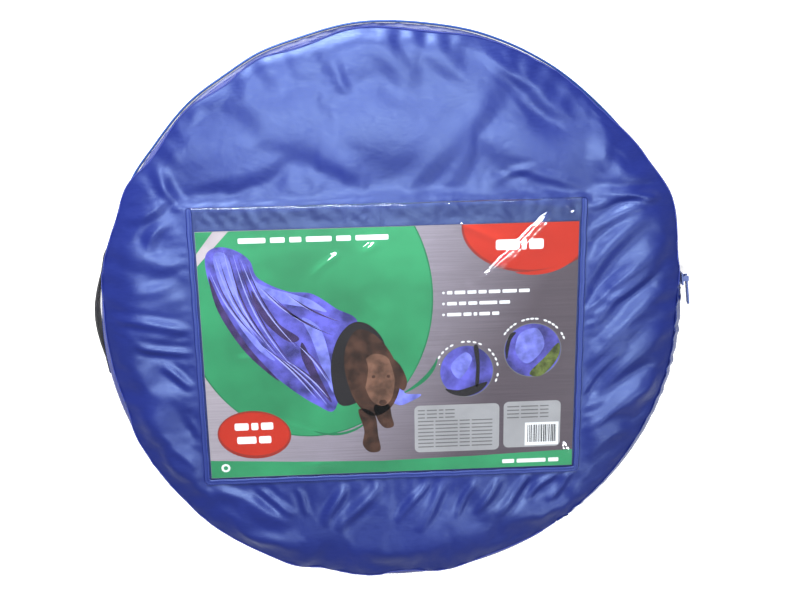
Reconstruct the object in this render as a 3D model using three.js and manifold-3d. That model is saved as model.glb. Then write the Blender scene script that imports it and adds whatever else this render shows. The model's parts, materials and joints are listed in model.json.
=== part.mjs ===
// An agility tunnel for dogs, packed flat in its round carry bag.
// Millimetres, +Z up. The bag lies on its back face with the label up, and its
// origin is the middle of that face. +Y is the top of the label.
import * as THREE from "three";
import { mergeVertices } from "three/addons/utils/BufferGeometryUtils.js";
import Module from "manifold-3d";

// ---- driving dimensions ----
const BAG_RADIUS = 327; // outer face of the side wall
const BAG_DEPTH = 58; // back face to front panel
const CLOTH = 1.5; // bag cloth with its seam allowances
const EDGE_ROUND = 16; // width of the front panel's fall over the rim
const EDGE_FALL = 7.7; // depth of that fall
const GAP = 0.3; // between pieces that touch
const ZIP_LEVEL = 40; // middle of the zip above the back face
const COIL_GAP = 1.4; // between the two coils
const COIL_WIDTH = 2.1;
const COIL_THICK = 2.8;
const TAPE_WIDTH = 6.9;
const TAPE_THICK = 1;
const PIPING = 3;
const HINGE_ANGLE = -24; // degrees, where the unzipped stretch is centred
const HINGE_HALF = 30; // half of the unzipped stretch
const HINGE_SLIT = 0.6; // between the lid and the fixed strip at the fold
const ZIP_END_TRIM = 3.5; // degrees that the lid's zip stops short of the fold
const SLIDER_REST = 1; // degrees from the fold's end to the parked slider
const WALL_NOTCH_PAST = 2; // degrees that the wall's notch runs past each end of the zip
const ZIP_BASE_PAST = 1.4; // degrees that the base's zip runs past the fold
const STOP_LENGTH = 0.5; // degrees
const STOP_TOP = 2.4; // of a stop, above the base coil
const STOP_CLOSED_IN = 0.1; // degrees from the base tape's end to the stop
const STOP_OPEN_IN = 0.6;
const SLIDER_HALF = 7; // half of the slider's length
const SLIDER_REACH = 5.6; // of its plates, above and below the zip's middle
const SLIDER_PLATE = 1.6;
const SLIDER_ROOM = 0.5; // between the coils and the plates
const SLIDER_DIVIDER = 3; // length of the post that joins the plates
const SLIDER_POST = 0.4; // half of that post's height, between the coils
const LUG_REACH = 4.4; // of the lugs, above and below the zip's middle
const LUG_THICK = 1;
const LUG_HALF = 3; // half of a lug's width
const LUG_PAST_PIN = 2;
const PIN_OUT = 4.6; // from the outer plate to the pull's pin
const PIN_RADIUS = 0.9;
const PULL_LENGTH = 32;
const PULL_THICK = 1.8;
const PULL_HALF = 4; // half of the blade's width at its end
const PULL_END_RADIUS = 4.4;
const PULL_STRAIGHT_END = 12; // from the blade's tip to where its end starts to round
const EYE_RADIUS = 2.3;
const EYE_BORE = 1.3;
const BLADE_IN_EYE = 0.5; // how far the blade starts inside the eye
const MERGE = 0.1; // overlap that joins two solids into one
const STEP = 5; // degrees between the facets of every ring
const CARD_WIDTH = 420;
const CARD_HEIGHT = 297;
const CARD_THICK = 1;
const CARD_X = -6;
const CARD_Y = -32;
const POCKET_CLEAR = 1.5; // between the card and the binding
const POCKET_MOUTH = 27; // from the card's top edge to the pocket's mouth
const WINDOW_THICK = 0.6;
const BINDING_WIDTH = 7;
const BINDING_LIP = 4; // of the binding, over the window
const BINDING_THICK = 0.8;
const HOOP_RADIUS = 297; // middle of the hoop wire
const HOOP_WIRE = 5;
const SLEEVE_WALL = 1.2;
const SLEEVE_MOUTH = 2.4; // the hoop sleeve's seam allowance, left open at the seam
const ENTRANCE_LEVEL = 44; // middle of the upper hoop's wire
const PACK_EDGE_IN = 1; // from the sleeves' outside to the pleats' folds
const PLEATS = 4;
const PLEAT_WAVE = 3.6;
const HANDLE_ANGLE = 177.5; // degrees, the middle of the handle
const HANDLE_SPAN = 100; // between the sewn ends
const HANDLE_WIDTH = 24;
const HANDLE_LEVEL = 16;
const HANDLE_BOW = 9; // finger gap at the middle of the handle
const HANDLE_STATIONS = 14; // straight runs along the handle's bow
const HANDLE_RISE = 3.4; // from the wall to the handle at its ends
const WEBBING = 2;
const ANCHOR_LENGTH = 22;
const ANCHOR_THICK = 5.4; // the folded and stitched end of the webbing
const PEG_COUNT = 4;
const PEG_LENGTH = 180;
const PEG_WIRE = 5;
const PEG_HOOK = 14; // radius of the peg's bent head
const PEG_PITCH = 40;
const PEG_TAIL = 12; // of the bent head, back down
const PEG_SHIFT = 4; // of each shank, so that peg and head are centred
const PEG_LIFT = 6; // of the pegs, above the sleeve's underside
const POUCH_WALL = 1;
const POUCH_Y = 40; // middle of the pouch
const POUCH_SIDES = 16; // spare width
const POUCH_ENDS = 34; // spare height
const STRAP_WIDTH = 20;
const STRAP_LENGTH = 90;
const STRAP_ANGLES = [45, 135, 225, 315];
const CUT = 20; // how far a cutting tool reaches past what it cuts

// ---- materials ----
const paint = (color, roughness, metalness = 0) =>
  new THREE.MeshStandardMaterial({ color, roughness, metalness });
const NYLON = paint(0x4a55c0, 0.5);
const NYLON_DARK = paint(0x39419c, 0.55);
const TUNNEL_CLOTH = paint(0x4550b8, 0.55);
const TAPE = paint(0x2f3a8e, 0.7);
const COIL = paint(0x3a46a4, 0.4);
const PLASTIC_BLUE = paint(0x4f5f8e, 0.35);
const WEB = paint(0x17181c, 0.8);
const CARD = paint(0xb9b2bd, 0.5);
const CLEAR = new THREE.MeshStandardMaterial({
  color: 0xdfe6f2, roughness: 0.1, transparent: true, opacity: 0.25,
});
const STEEL = paint(0xb8bcc2, 0.3, 1);

// ---- shape helpers ----
const wasm = await Module();
wasm.setup();
const rad = THREE.MathUtils.degToRad;
const polar = (radius, degrees) =>
  new THREE.Vector2(radius * Math.cos(rad(degrees)), radius * Math.sin(rad(degrees)));

const group = new THREE.Group();
function add(name, geometry, material, parent = group) {
  const mesh = new THREE.Mesh(geometry, material);
  mesh.name = name;
  parent.add(mesh);
  return mesh;
}

function bare(geometry) {
  const plain = geometry.index ? geometry.toNonIndexed() : geometry.clone();
  for (const name of Object.keys(plain.attributes)) {
    if (name !== "position") plain.deleteAttribute(name);
  }
  return mergeVertices(plain, 1e-4);
}

function solid(geometry) {
  const merged = bare(geometry);
  return new wasm.Manifold(new wasm.Mesh({
    numProp: 3,
    vertProperties: new Float32Array(merged.attributes.position.array),
    triVerts: new Uint32Array(merged.index.array),
  }));
}

function shown(manifold) {
  const mesh = manifold.getMesh();
  const geometry = new THREE.BufferGeometry();
  geometry.setAttribute("position", new THREE.BufferAttribute(mesh.vertProperties, 3));
  geometry.setIndex(new THREE.BufferAttribute(mesh.triVerts, 1));
  geometry.computeVertexNormals();
  return geometry;
}

const box = (x0, x1, y0, y1, z0, z1) =>
  new THREE.BoxGeometry(x1 - x0, y1 - y0, z1 - z0)
    .translate((x0 + x1) / 2, (y0 + y1) / 2, (z0 + z1) / 2);

// Every ring has its facets at the same angles, so that nested rings stay apart.
function ringAngles(from, to) {
  const inside = [];
  for (let a = Math.ceil(from / STEP) * STEP; a < to; a += STEP) {
    if (a > from) inside.push(a);
  }
  return [from, ...inside, to];
}

// Part of a flat ring seen from above, raised from one level to another.
function arcBand(inner, outer, low, high, from, to) {
  const angles = ringAngles(from, to);
  const outline = [
    ...angles.map((a) => polar(outer, a)),
    ...angles.reverse().map((a) => polar(inner, a)),
  ];
  return new THREE.ExtrudeGeometry(new THREE.Shape(outline), {
    depth: high - low, bevelEnabled: false,
  }).translate(0, 0, low);
}

// A profile of [radius, level] points, which closes on itself, turned about Z.
function turned(profile) {
  const points = [...profile, profile[0]].map(([r, z]) => new THREE.Vector2(r, z));
  return new THREE.LatheGeometry(points, 360 / STEP, rad(90)).rotateX(rad(90));
}

function round(radius, level, wire, sides) {
  return Array.from({ length: sides }, (_, i) => {
    const p = polar(wire / 2, (360 * i) / sides);
    return [radius + p.x, level + p.y];
  });
}

// A wire: a section swept along a line of points.
function swept(points, section, steps) {
  return new THREE.ExtrudeGeometry(section, {
    steps, bevelEnabled: false,
    extrudePath: new THREE.CatmullRomCurve3(points, false, "centripetal"),
  });
}

const roundSection = (diameter, sides) =>
  new THREE.Shape(Array.from({ length: sides }, (_, i) => polar(diameter / 2, (360 * i) / sides)));

// ---- bag ----
const wallInner = BAG_RADIUS - CLOTH;
const lipLevel = BAG_DEPTH - EDGE_FALL;
const wallTop = lipLevel - GAP;
const coilBaseTop = ZIP_LEVEL - COIL_GAP / 2;
const coilBaseLow = coilBaseTop - COIL_WIDTH;
const tapeBaseTop = coilBaseLow - GAP;
const zipWallTop = tapeBaseTop - TAPE_WIDTH - GAP;
const coilLidLow = ZIP_LEVEL + COIL_GAP / 2;
const coilLidTop = coilLidLow + COIL_WIDTH;
const tapeLidLow = coilLidTop + GAP;
const zipFrom = HINGE_ANGLE + HINGE_HALF;
const zipTo = zipFrom + 360 - 2 * HINGE_HALF;
const wallMiddle = BAG_RADIUS - CLOTH / 2;

function bag() {
  add("back_panel", turned([
    [wallInner - GAP, 0], [wallInner - GAP, CLOTH], [0, CLOTH], [0, 0],
  ]), NYLON_DARK);
  const sides = 6;
  const pipingLevel = (PIPING / 2) * Math.sin(rad(360 / sides)); // it stands on a flat side
  add("back_piping", turned(round(BAG_RADIUS + GAP + PIPING / 2, pipingLevel, PIPING, sides)), NYLON);

  const wall = turned([
    [wallInner, 0], [BAG_RADIUS, 0], [BAG_RADIUS, wallTop], [wallInner, wallTop],
  ]);
  const notch = arcBand(
    wallInner - CUT, BAG_RADIUS + CUT, zipWallTop, BAG_DEPTH,
    zipFrom - WALL_NOTCH_PAST, zipTo + WALL_NOTCH_PAST,
  );
  add("side_wall", shown(solid(wall).subtract(solid(notch))), NYLON_DARK);
}

// ---- front panel, in two parts that meet at the fold ----
function front() {
  const falls = [0, 30, 60, 90];
  const inner = BAG_RADIUS - EDGE_ROUND;
  const outside = falls.map((a) => [
    inner + EDGE_ROUND * Math.sin(rad(a)), lipLevel + EDGE_FALL * Math.cos(rad(a)),
  ]);
  const inside = falls.map((a) => [
    inner + (EDGE_ROUND - CLOTH) * Math.sin(rad(a)),
    lipLevel + (EDGE_FALL - CLOTH) * Math.cos(rad(a)),
  ]);
  const shell = solid(turned([
    [0, BAG_DEPTH - CLOTH], ...inside, ...outside.reverse(), [0, BAG_DEPTH],
  ]));
  const fold = BAG_RADIUS * Math.cos(rad(HINGE_HALF));
  const reach = 2 * BAG_RADIUS;
  const beyond = (start, end) =>
    solid(box(start, end, -reach, reach, -reach, reach).rotateZ(rad(HINGE_ANGLE)));
  add("front_panel", shown(shell.subtract(beyond(fold - HINGE_SLIT / 2, reach))), NYLON);
  add("front_hinge_strip", shown(shell.subtract(beyond(-reach, fold + HINGE_SLIT / 2))), NYLON);
}

// ---- zip ----
function zip() {
  const tapeIn = wallMiddle - TAPE_THICK / 2;
  const tapeOut = wallMiddle + TAPE_THICK / 2;
  const coilIn = wallMiddle - COIL_THICK / 2;
  const coilOut = wallMiddle + COIL_THICK / 2;
  const baseFrom = zipFrom - ZIP_BASE_PAST;
  const baseTo = zipTo + ZIP_BASE_PAST;
  const lidFrom = zipFrom + ZIP_END_TRIM;
  const lidTo = zipTo - ZIP_END_TRIM;
  add("zip_tape_base", arcBand(tapeIn, tapeOut, tapeBaseTop - TAPE_WIDTH, tapeBaseTop,
    baseFrom, baseTo), TAPE);
  add("zip_coil_base", arcBand(coilIn, coilOut, coilBaseLow, coilBaseTop, baseFrom, baseTo), COIL);
  add("zip_tape_lid", arcBand(tapeIn, tapeOut, tapeLidLow, wallTop, lidFrom, lidTo), TAPE);
  add("zip_coil_lid", arcBand(coilIn, coilOut, coilLidLow, coilLidTop, lidFrom, lidTo), COIL);
  // The stops sit on top of the base coil, just past each end of the slider's travel.
  const stops = [
    ["zip_stop_closed", baseFrom + STOP_CLOSED_IN], ["zip_stop_open", baseTo - STOP_OPEN_IN],
  ];
  for (const [name, from] of stops) {
    add(name, arcBand(coilIn, coilOut, coilBaseTop + GAP, coilBaseTop + STOP_TOP,
      from, from + STOP_LENGTH), STEEL);
  }
  slider(coilIn, coilOut);
}

// The slider's own frame: x along the zip, y outwards from the wall, z up.
function slider(coilIn, coilOut) {
  const parked = new THREE.Group();
  parked.rotation.z = rad(zipFrom + SLIDER_REST - 90);
  group.add(parked);
  const bow = BAG_RADIUS - Math.sqrt(BAG_RADIUS ** 2 - SLIDER_HALF ** 2);
  const innerFace = coilIn - SLIDER_ROOM - bow;
  const outerFace = coilOut + SLIDER_ROOM;
  const pinOut = outerFace + SLIDER_PLATE + PIN_OUT;
  const block = (x0, x1, y0, y1, z0, z1) =>
    solid(box(x0, x1, y0, y1, z0 + ZIP_LEVEL, z1 + ZIP_LEVEL));
  const across = (radius, height, sides) => new THREE.CylinderGeometry(radius, radius, height, sides)
    .rotateX(rad(90)).translate(0, pinOut, ZIP_LEVEL);
  const divider = SLIDER_HALF - SLIDER_DIVIDER;
  const lugOut = pinOut + LUG_PAST_PIN;
  const lugIn = LUG_REACH - LUG_THICK;
  const body = block(-SLIDER_HALF, SLIDER_HALF, innerFace - SLIDER_PLATE, innerFace,
    -SLIDER_REACH, SLIDER_REACH)
    .add(block(-SLIDER_HALF, SLIDER_HALF, outerFace, outerFace + SLIDER_PLATE,
      -SLIDER_REACH, SLIDER_REACH))
    .add(block(divider, SLIDER_HALF, innerFace - MERGE, outerFace + MERGE, -SLIDER_POST, SLIDER_POST))
    .add(block(-LUG_HALF, LUG_HALF, outerFace, lugOut, lugIn, LUG_REACH))
    .add(block(-LUG_HALF, LUG_HALF, outerFace, lugOut, -LUG_REACH, -lugIn))
    .add(solid(across(PIN_RADIUS, 2 * LUG_REACH, 10)));
  add("zip_slider", shown(body), PLASTIC_BLUE, parked);

  const eyeWidth = 2 * (lugIn - GAP);
  const eye = across(EYE_RADIUS, eyeWidth, 16);
  const bore = across(EYE_BORE, 2 * eyeWidth, 16);
  const tip = PULL_LENGTH - PULL_STRAIGHT_END;
  const blade = new THREE.ExtrudeGeometry(
    new THREE.Shape()
      .moveTo(-BLADE_IN_EYE, -eyeWidth / 2)
      .lineTo(-BLADE_IN_EYE, eyeWidth / 2)
      .lineTo(tip, PULL_HALF)
      .absarc(PULL_LENGTH - PULL_HALF, 0, PULL_END_RADIUS, rad(70), rad(-70), true)
      .lineTo(tip, -PULL_HALF)
      .closePath(),
    { depth: PULL_THICK, bevelEnabled: false, curveSegments: 8 },
  ).rotateX(rad(90)).translate(0, pinOut + PULL_THICK / 2, ZIP_LEVEL);
  const pull = solid(eye).add(solid(blade)).subtract(solid(bore));
  add("zip_pull", shown(pull), PLASTIC_BLUE, parked);
}

// ---- label pocket and card ----
function label() {
  const left = CARD_X - CARD_WIDTH / 2;
  const right = CARD_X + CARD_WIDTH / 2;
  const bottom = CARD_Y - CARD_HEIGHT / 2;
  const top = CARD_Y + CARD_HEIGHT / 2;
  const mouth = top + POCKET_MOUTH;
  const cardLow = BAG_DEPTH + GAP;
  const windowLow = cardLow + CARD_THICK + GAP;
  const windowTop = windowLow + WINDOW_THICK;
  const lipLow = windowTop + GAP;
  const side = BINDING_WIDTH - BINDING_LIP; // of the binding's wall
  const edge = POCKET_CLEAR + BINDING_LIP; // of the window, past the card
  add("label_card", box(left, right, bottom, top, cardLow, cardLow + CARD_THICK), CARD);
  add("pocket_window", box(
    left - edge + GAP, right + edge - GAP, bottom - edge + GAP, mouth, windowLow, windowTop,
  ), CLEAR);
  const whole = solid(box(
    left - edge - side, right + edge + side, bottom - edge - side, mouth, cardLow, lipLow + BINDING_THICK,
  ));
  const underLip = solid(box(
    left - edge, right + edge, bottom - edge, mouth + 1, 0, lipLow,
  ));
  const open = solid(box(
    left - POCKET_CLEAR, right + POCKET_CLEAR, bottom - POCKET_CLEAR, mouth + 1, 0, BAG_DEPTH * 2,
  ));
  add("pocket_binding", shown(whole.subtract(underLip).subtract(open)), NYLON);
}

// ---- carry handle ----
function handle() {
  const inside = BAG_RADIUS + GAP;
  const place = new THREE.Group();
  place.rotation.z = rad(HANDLE_ANGLE - 90);
  group.add(place);
  // Its own frame: x along the wall, y outwards, z up.
  const low = HANDLE_LEVEL - HANDLE_WIDTH / 2;
  const sewn = HANDLE_SPAN / 2;
  const wallAt = (x) => Math.sqrt(inside ** 2 - x ** 2);
  const standing = (outline) => new THREE.ExtrudeGeometry(
    new THREE.Shape(outline.map(([x, y]) => new THREE.Vector2(x, y))),
    { depth: HANDLE_WIDTH, bevelEnabled: false },
  ).translate(0, 0, low);
  const far = sewn + ANCHOR_LENGTH;
  const near = sewn + GAP;
  for (const [name, sign] of [["handle_anchor_1", 1], ["handle_anchor_2", -1]]) {
    add(name, standing([
      [sign * near, wallAt(near)], [sign * far, wallAt(far)],
      [sign * far, wallAt(far) + ANCHOR_THICK], [sign * near, wallAt(near) + ANCHOR_THICK],
    ]), WEB, place);
  }
  const ends = wallAt(sewn) + HANDLE_RISE;
  const crown = BAG_RADIUS + HANDLE_BOW;
  const inner = (x) => ends + (crown - ends) * Math.cos((x / sewn) * (Math.PI / 2));
  const stations = Array.from(
    { length: HANDLE_STATIONS + 1 }, (_, i) => -sewn + (i * HANDLE_SPAN) / HANDLE_STATIONS,
  );
  add("carry_handle", standing([
    ...stations.map((x) => [x, inner(x)]),
    ...stations.reverse().map((x) => [x, inner(x) + WEBBING]),
  ]), WEB, place);
}

// ---- packed tunnel: two hoops in their sleeves with the pleated cloth between ----
const packLow = CLOTH + GAP;
const sleeveRadius = HOOP_WIRE / 2 + GAP + SLEEVE_WALL;
const exitLevel = packLow + sleeveRadius;

function sleeve(level) {
  const outer = sleeveRadius;
  const inner = outer - SLEEVE_WALL;
  const half = THREE.MathUtils.radToDeg(Math.asin(SLEEVE_MOUTH / 2 / inner));
  const count = 7;
  const at = (r, i) => {
    const p = polar(r, 180 + half + ((360 - 2 * half) * i) / (count - 1));
    return [HOOP_RADIUS + p.x, level + p.y];
  };
  const steps = Array.from({ length: count }, (_, i) => i);
  return turned([...steps.map((i) => at(outer, i)), ...steps.reverse().map((i) => at(inner, i))]);
}

function tunnel() {
  for (const [name, level] of [["entrance", ENTRANCE_LEVEL], ["exit", exitLevel]]) {
    add(`${name}_hoop`, turned(round(HOOP_RADIUS, level, HOOP_WIRE, 6)), STEEL);
    add(`${name}_hoop_sleeve`, sleeve(level), TUNNEL_CLOTH);
  }
  // The cloth lies in stacked pleats, and their folds show as waves at the edge. It
  // also fills the exit hoop.
  const low = exitLevel + sleeveRadius + GAP;
  const high = ENTRANCE_LEVEL - sleeveRadius - GAP;
  const rim = HOOP_RADIUS + sleeveRadius - PACK_EDGE_IN;
  const pleat = (high - low) / PLEATS;
  const waves = [];
  for (let i = 0; i < PLEATS; i += 1) {
    waves.push([rim - PLEAT_WAVE, low + i * pleat], [rim, low + (i + 0.5) * pleat]);
  }
  const inHoop = HOOP_RADIUS - sleeveRadius - 2 * GAP;
  add("tunnel_cloth", turned([
    [0, packLow], [inHoop, packLow], [inHoop, low], ...waves, [rim - PLEAT_WAVE, high], [0, high],
  ]), TUNNEL_CLOTH);
}

// ---- pegs in their pouch, and the straps that they hold down ----
function pegs() {
  const low = ENTRANCE_LEVEL - sleeveRadius;
  const level = low + PEG_LIFT;
  const right = (PEG_COUNT * PEG_PITCH + POUCH_SIDES) / 2;
  const bottom = POUCH_Y - (PEG_LENGTH + POUCH_ENDS) / 2;
  const mouth = POUCH_Y + (PEG_LENGTH + POUCH_ENDS) / 2;
  const wallOut = level + PEG_WIRE / 2 + GAP + POUCH_WALL;
  const wallLow = low + GAP;
  const shell = solid(box(-right, right, bottom, mouth, wallLow, wallOut));
  const room = solid(box(
    POUCH_WALL - right, right - POUCH_WALL, bottom + POUCH_WALL, mouth + CUT,
    wallLow + POUCH_WALL, wallOut - POUCH_WALL,
  ));
  add("peg_pouch", shown(shell.subtract(room)), NYLON_DARK);
  for (let i = 0; i < PEG_COUNT; i += 1) {
    const x = (i - (PEG_COUNT - 1) / 2) * PEG_PITCH - PEG_SHIFT;
    const tip = POUCH_Y - PEG_LENGTH / 2;
    const neck = tip + PEG_LENGTH - PEG_HOOK;
    const head = [0, 45, 90, 135, 180].map((a) => {
      const p = polar(PEG_HOOK, 180 - a);
      return new THREE.Vector3(x + PEG_HOOK + p.x, neck + p.y, level);
    });
    const line = [
      new THREE.Vector3(x, tip, level), new THREE.Vector3(x, tip + PEG_LENGTH / 3, level),
      new THREE.Vector3(x, tip + (2 * PEG_LENGTH) / 3, level), ...head,
      new THREE.Vector3(x + 2 * PEG_HOOK, neck - PEG_TAIL, level),
    ];
    add(`ground_peg_${i + 1}`, swept(line, roundSection(PEG_WIRE, 6), 26), STEEL);
  }
  const ring = HOOP_RADIUS - sleeveRadius - GAP;
  STRAP_ANGLES.forEach((angle, i) => {
    const top = ENTRANCE_LEVEL + WEBBING / 2;
    const strap = box(
      ring - STRAP_LENGTH, ring, -STRAP_WIDTH / 2, STRAP_WIDTH / 2, top - WEBBING, top,
    ).rotateZ(rad(angle));
    add(`peg_strap_${i + 1}`, strap, WEB);
  });
}

bag();
front();
zip();
label();
handle();
tunnel();
pegs();

export default group;
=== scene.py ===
"""An agility tunnel packed flat in its round nylon carry bag: the looks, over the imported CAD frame.

Metres, +Z up. The bag lies on its back with its label up, and +Y is the label's top.
"""
import json
import math
import random

import bmesh
import bpy
import numpy as np
from mathutils import Matrix, Vector, noise


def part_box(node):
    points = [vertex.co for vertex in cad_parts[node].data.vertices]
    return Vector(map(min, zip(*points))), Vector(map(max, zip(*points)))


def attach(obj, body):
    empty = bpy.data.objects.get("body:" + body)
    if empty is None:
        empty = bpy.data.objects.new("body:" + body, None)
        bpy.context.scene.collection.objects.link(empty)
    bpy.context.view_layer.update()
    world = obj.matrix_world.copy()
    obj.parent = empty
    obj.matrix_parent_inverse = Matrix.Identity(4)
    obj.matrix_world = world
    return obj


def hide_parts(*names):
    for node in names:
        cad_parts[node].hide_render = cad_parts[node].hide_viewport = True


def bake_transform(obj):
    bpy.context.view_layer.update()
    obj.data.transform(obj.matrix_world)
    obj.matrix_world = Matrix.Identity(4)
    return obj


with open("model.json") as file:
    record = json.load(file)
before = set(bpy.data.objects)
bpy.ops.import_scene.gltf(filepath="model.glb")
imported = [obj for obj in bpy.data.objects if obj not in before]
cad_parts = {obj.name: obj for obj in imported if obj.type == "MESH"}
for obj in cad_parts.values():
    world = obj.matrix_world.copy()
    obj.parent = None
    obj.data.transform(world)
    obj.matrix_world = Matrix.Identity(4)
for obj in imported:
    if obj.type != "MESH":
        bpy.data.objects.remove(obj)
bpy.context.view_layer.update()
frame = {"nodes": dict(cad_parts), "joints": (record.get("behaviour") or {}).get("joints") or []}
MM = 0.001

# ---- sizes, from the frame ----
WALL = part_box("side_wall")[1].x
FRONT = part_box("front_panel")[1].z
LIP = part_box("side_wall")[1].z
WALL_TOP_AT_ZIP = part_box("zip_tape_base")[0].z
COIL_BASE = (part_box("zip_coil_base")[0].z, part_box("zip_coil_base")[1].z)
COIL_LID = (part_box("zip_coil_lid")[0].z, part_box("zip_coil_lid")[1].z)
ZIP_LEVEL = (COIL_BASE[1] + COIL_LID[0]) / 2
CARD_LOW, CARD_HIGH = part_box("label_card")
POCKET_LOW, POCKET_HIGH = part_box("pocket_binding")
WINDOW_LOW, WINDOW_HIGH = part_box("pocket_window")
PACK_LOW, PACK_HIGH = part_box("tunnel_cloth")
FOLD = next(j for j in frame["joints"] if j["name"] == "lid_open")
FOLD_MIDDLE = Vector(FOLD["pos_m"])
FOLD_OUT = Vector((FOLD_MIDDLE.x, FOLD_MIDDLE.y, 0)).normalized()
ZIP_HALF = math.degrees(math.acos(FOLD_MIDDLE.xy.length / WALL))
FOLD_ANGLE = math.degrees(math.atan2(FOLD_OUT.y, FOLD_OUT.x))
ZIP_FROM = FOLD_ANGLE + ZIP_HALF
ZIP_TO = FOLD_ANGLE + 360 - ZIP_HALF
CARD_MIDDLE = (CARD_LOW + CARD_HIGH) / 2

# How far the bag's edge stands out from a true circle: (degrees, millimetres).
EDGE_BUMPS = [
    (0, -7), (11, -1), (25, 11), (34, 6), (47, 1), (58, 4), (72, 5), (83, 1), (96, 6), (107, -1),
    (115, 4), (123, -2), (131, 3), (142, -3), (150, 5), (157, 1), (167, 2), (177, -3), (186, -5),
    (196, -6), (204, 0), (217, 1), (229, 4), (241, 3), (247, 4), (254, -3), (263, -1), (271, -8),
    (280, -2), (290, -6), (303, -5), (318, -6), (335, -7), (349, -6),
]

# Creases of the front cloth round the pocket, in millimetres: start, end, width, height.
CREASES = [
    ((212, 148), (296, 142), 7, 2.6), ((210, 132), (292, 150), 7, 2.2),
    ((210, 98), (290, 146), 8, 3.2), ((209, 44), (276, 132), 9, 4.2),
    ((209, 4), (270, 66), 6, 2.6), ((209, -26), (302, 98), 11, 5.0),
    ((211, -64), (306, 44), 10, 4.6), ((210, -92), (262, -28), 7, 2.8),
    ((210, -116), (304, -14), 9, 3.8), ((212, -150), (306, -68), 14, 6.2),
    ((216, -174), (284, -120), 9, 3.2), ((238, 20), (296, 60), 7, 1.8),
    ((-312, 92), (-232, 84), 10, 1.8), ((-296, 48), (-236, 58), 8, 1.0),
    ((-318, 20), (-229, 4), 7, 2.2), ((-290, -12), (-229, -28), 6, 2.2),
    ((-262, -40), (-229, -66), 6, 2.4), ((-300, -30), (-262, -84), 12, 1.6),
    ((-304, -86), (-200, -192), 16, 5.0), ((-296, -130), (-186, -222), 12, 2.4),
    ((-238, -98), (-228, -128), 6, 1.2), ((-214, -194), (-126, -240), 9, 3.6),
    ((-168, -196), (-122, -232), 6, 2.6), ((-118, -198), (-106, -234), 5, 2.2),
    ((-62, -196), (-88, -246), 7, 3.0), ((-22, -196), (-72, -254), 8, 3.2),
    ((34, -196), (-2, -246), 6, 2.4), ((58, -196), (22, -258), 8, 2.6),
    ((92, -196), (66, -242), 6, 2.4), ((118, -195), (92, -240), 6, 2.4),
    ((154, -194), (114, -242), 8, 3.0), ((186, -190), (150, -222), 6, 2.4),
    ((206, -188), (176, -228), 7, 2.4), ((-236, 196), (-60, 226), 24, 5.2),
    ((-92, 216), (-28, 168), 10, 2.0), ((10, 158), (104, 246), 9, 2.0),
    ((-80, 214), (90, 208), 26, 5.6), ((80, 216), (236, 186), 22, 5.2),
    ((-118, 196), (-222, 160), 9, 1.8), ((120, 176), (186, 168), 6, 1.6),
    ((108, 164), (168, 182), 5, 1.4), ((150, 172), (205, 154), 7, 2.0),
    ((-24, 322), (26, 268), 10, 2.6), ((-66, 300), (-44, 262), 8, 2.0),
    ((44, 316), (92, 262), 9, 2.4), ((92, 308), (150, 262), 7, 2.0),
    ((134, 282), (196, 228), 9, 3.4), ((-170, 262), (-118, 226), 12, 2.0),
    ((-258, 186), (-226, 142), 8, 2.6), ((-296, 128), (-242, 150), 8, 2.4),
    ((-252, 128), (-268, 96), 8, 2.2), ((236, 170), (292, 176), 9, 2.0),
    ((120, -262), (186, -236), 12, 2.2), ((-60, -290), (60, -276), 16, 2.4),
    ((-190, -248), (-120, -284), 12, 2.4),
]

BROAD_CREASE = 9  # millimetres: creases at least this wide are there before the cloth settles
GROWTH = 0.005  # how much larger than its place the front cloth is when it settles
SETTLE_FRAMES = 24
SETTLE_CAP = 6 * MM  # the furthest that any point moves as it settles
STRIP_TOP = (0.139, 0.147)  # where the rumpled strip at the pocket's mouth fades out upwards
STRIP_SIDE = (0.204, 0.214)  # the same, sideways from the card's middle
PATH_SIDE = (0.213, 0.243)  # from the card's middle: where the card's path starts and stops fading
NYLON_THICK = 0.6 * MM
MOST_PROUD = 12 * MM  # of the front cloth, above the pocket's level
VALLEY = 2.0 * MM  # depth of the front cloth's dip above the pocket's mouth
SOFT_LIMIT = 2.5 * MM  # how gently the cloth under the sliding card is kept below it


# ---- camera, floor and light ----
def look_from(thing, place, towards, roll=0.0):
    """Puts a camera or lamp at a place and turns it to look at a point."""
    back = (Vector(place) - Vector(towards)).normalized()
    right = Vector((0, 1, 0)).cross(back).normalized()
    up = back.cross(right)
    turned_right = right * math.cos(roll) + up * math.sin(roll)
    turned_up = up * math.cos(roll) - right * math.sin(roll)
    thing.matrix_world = Matrix((
        (turned_right.x, turned_up.x, back.x, place[0]),
        (turned_right.y, turned_up.y, back.y, place[1]),
        (turned_right.z, turned_up.z, back.z, place[2]),
        (0, 0, 0, 1),
    ))


def put_camera():
    """The camera above the label, tilted a little towards the label's top edge."""
    target = Vector((0.006, 0.028, 0.05))
    tilt, side, distance = math.radians(19.7), math.radians(97.6), 1.45
    away = Vector((math.sin(tilt) * math.cos(side), math.sin(tilt) * math.sin(side), math.cos(tilt)))
    data = bpy.data.cameras.new("camera")
    data.lens = 58.3
    data.sensor_width = 36
    camera = bpy.data.objects.new("camera", data)
    bpy.context.scene.collection.objects.link(camera)
    look_from(camera, target + distance * away, target, math.radians(-0.93))
    bpy.context.scene.camera = camera


def put_lamp(name, place, towards, size, power, colour=(1, 1, 1)):
    data = bpy.data.lights.new(name, "AREA")
    data.shape = "RECTANGLE"
    data.size, data.size_y = size
    data.energy = power
    data.color = colour
    lamp = bpy.data.objects.new(name, data)
    bpy.context.scene.collection.objects.link(lamp)
    look_from(lamp, place, towards)


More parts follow.
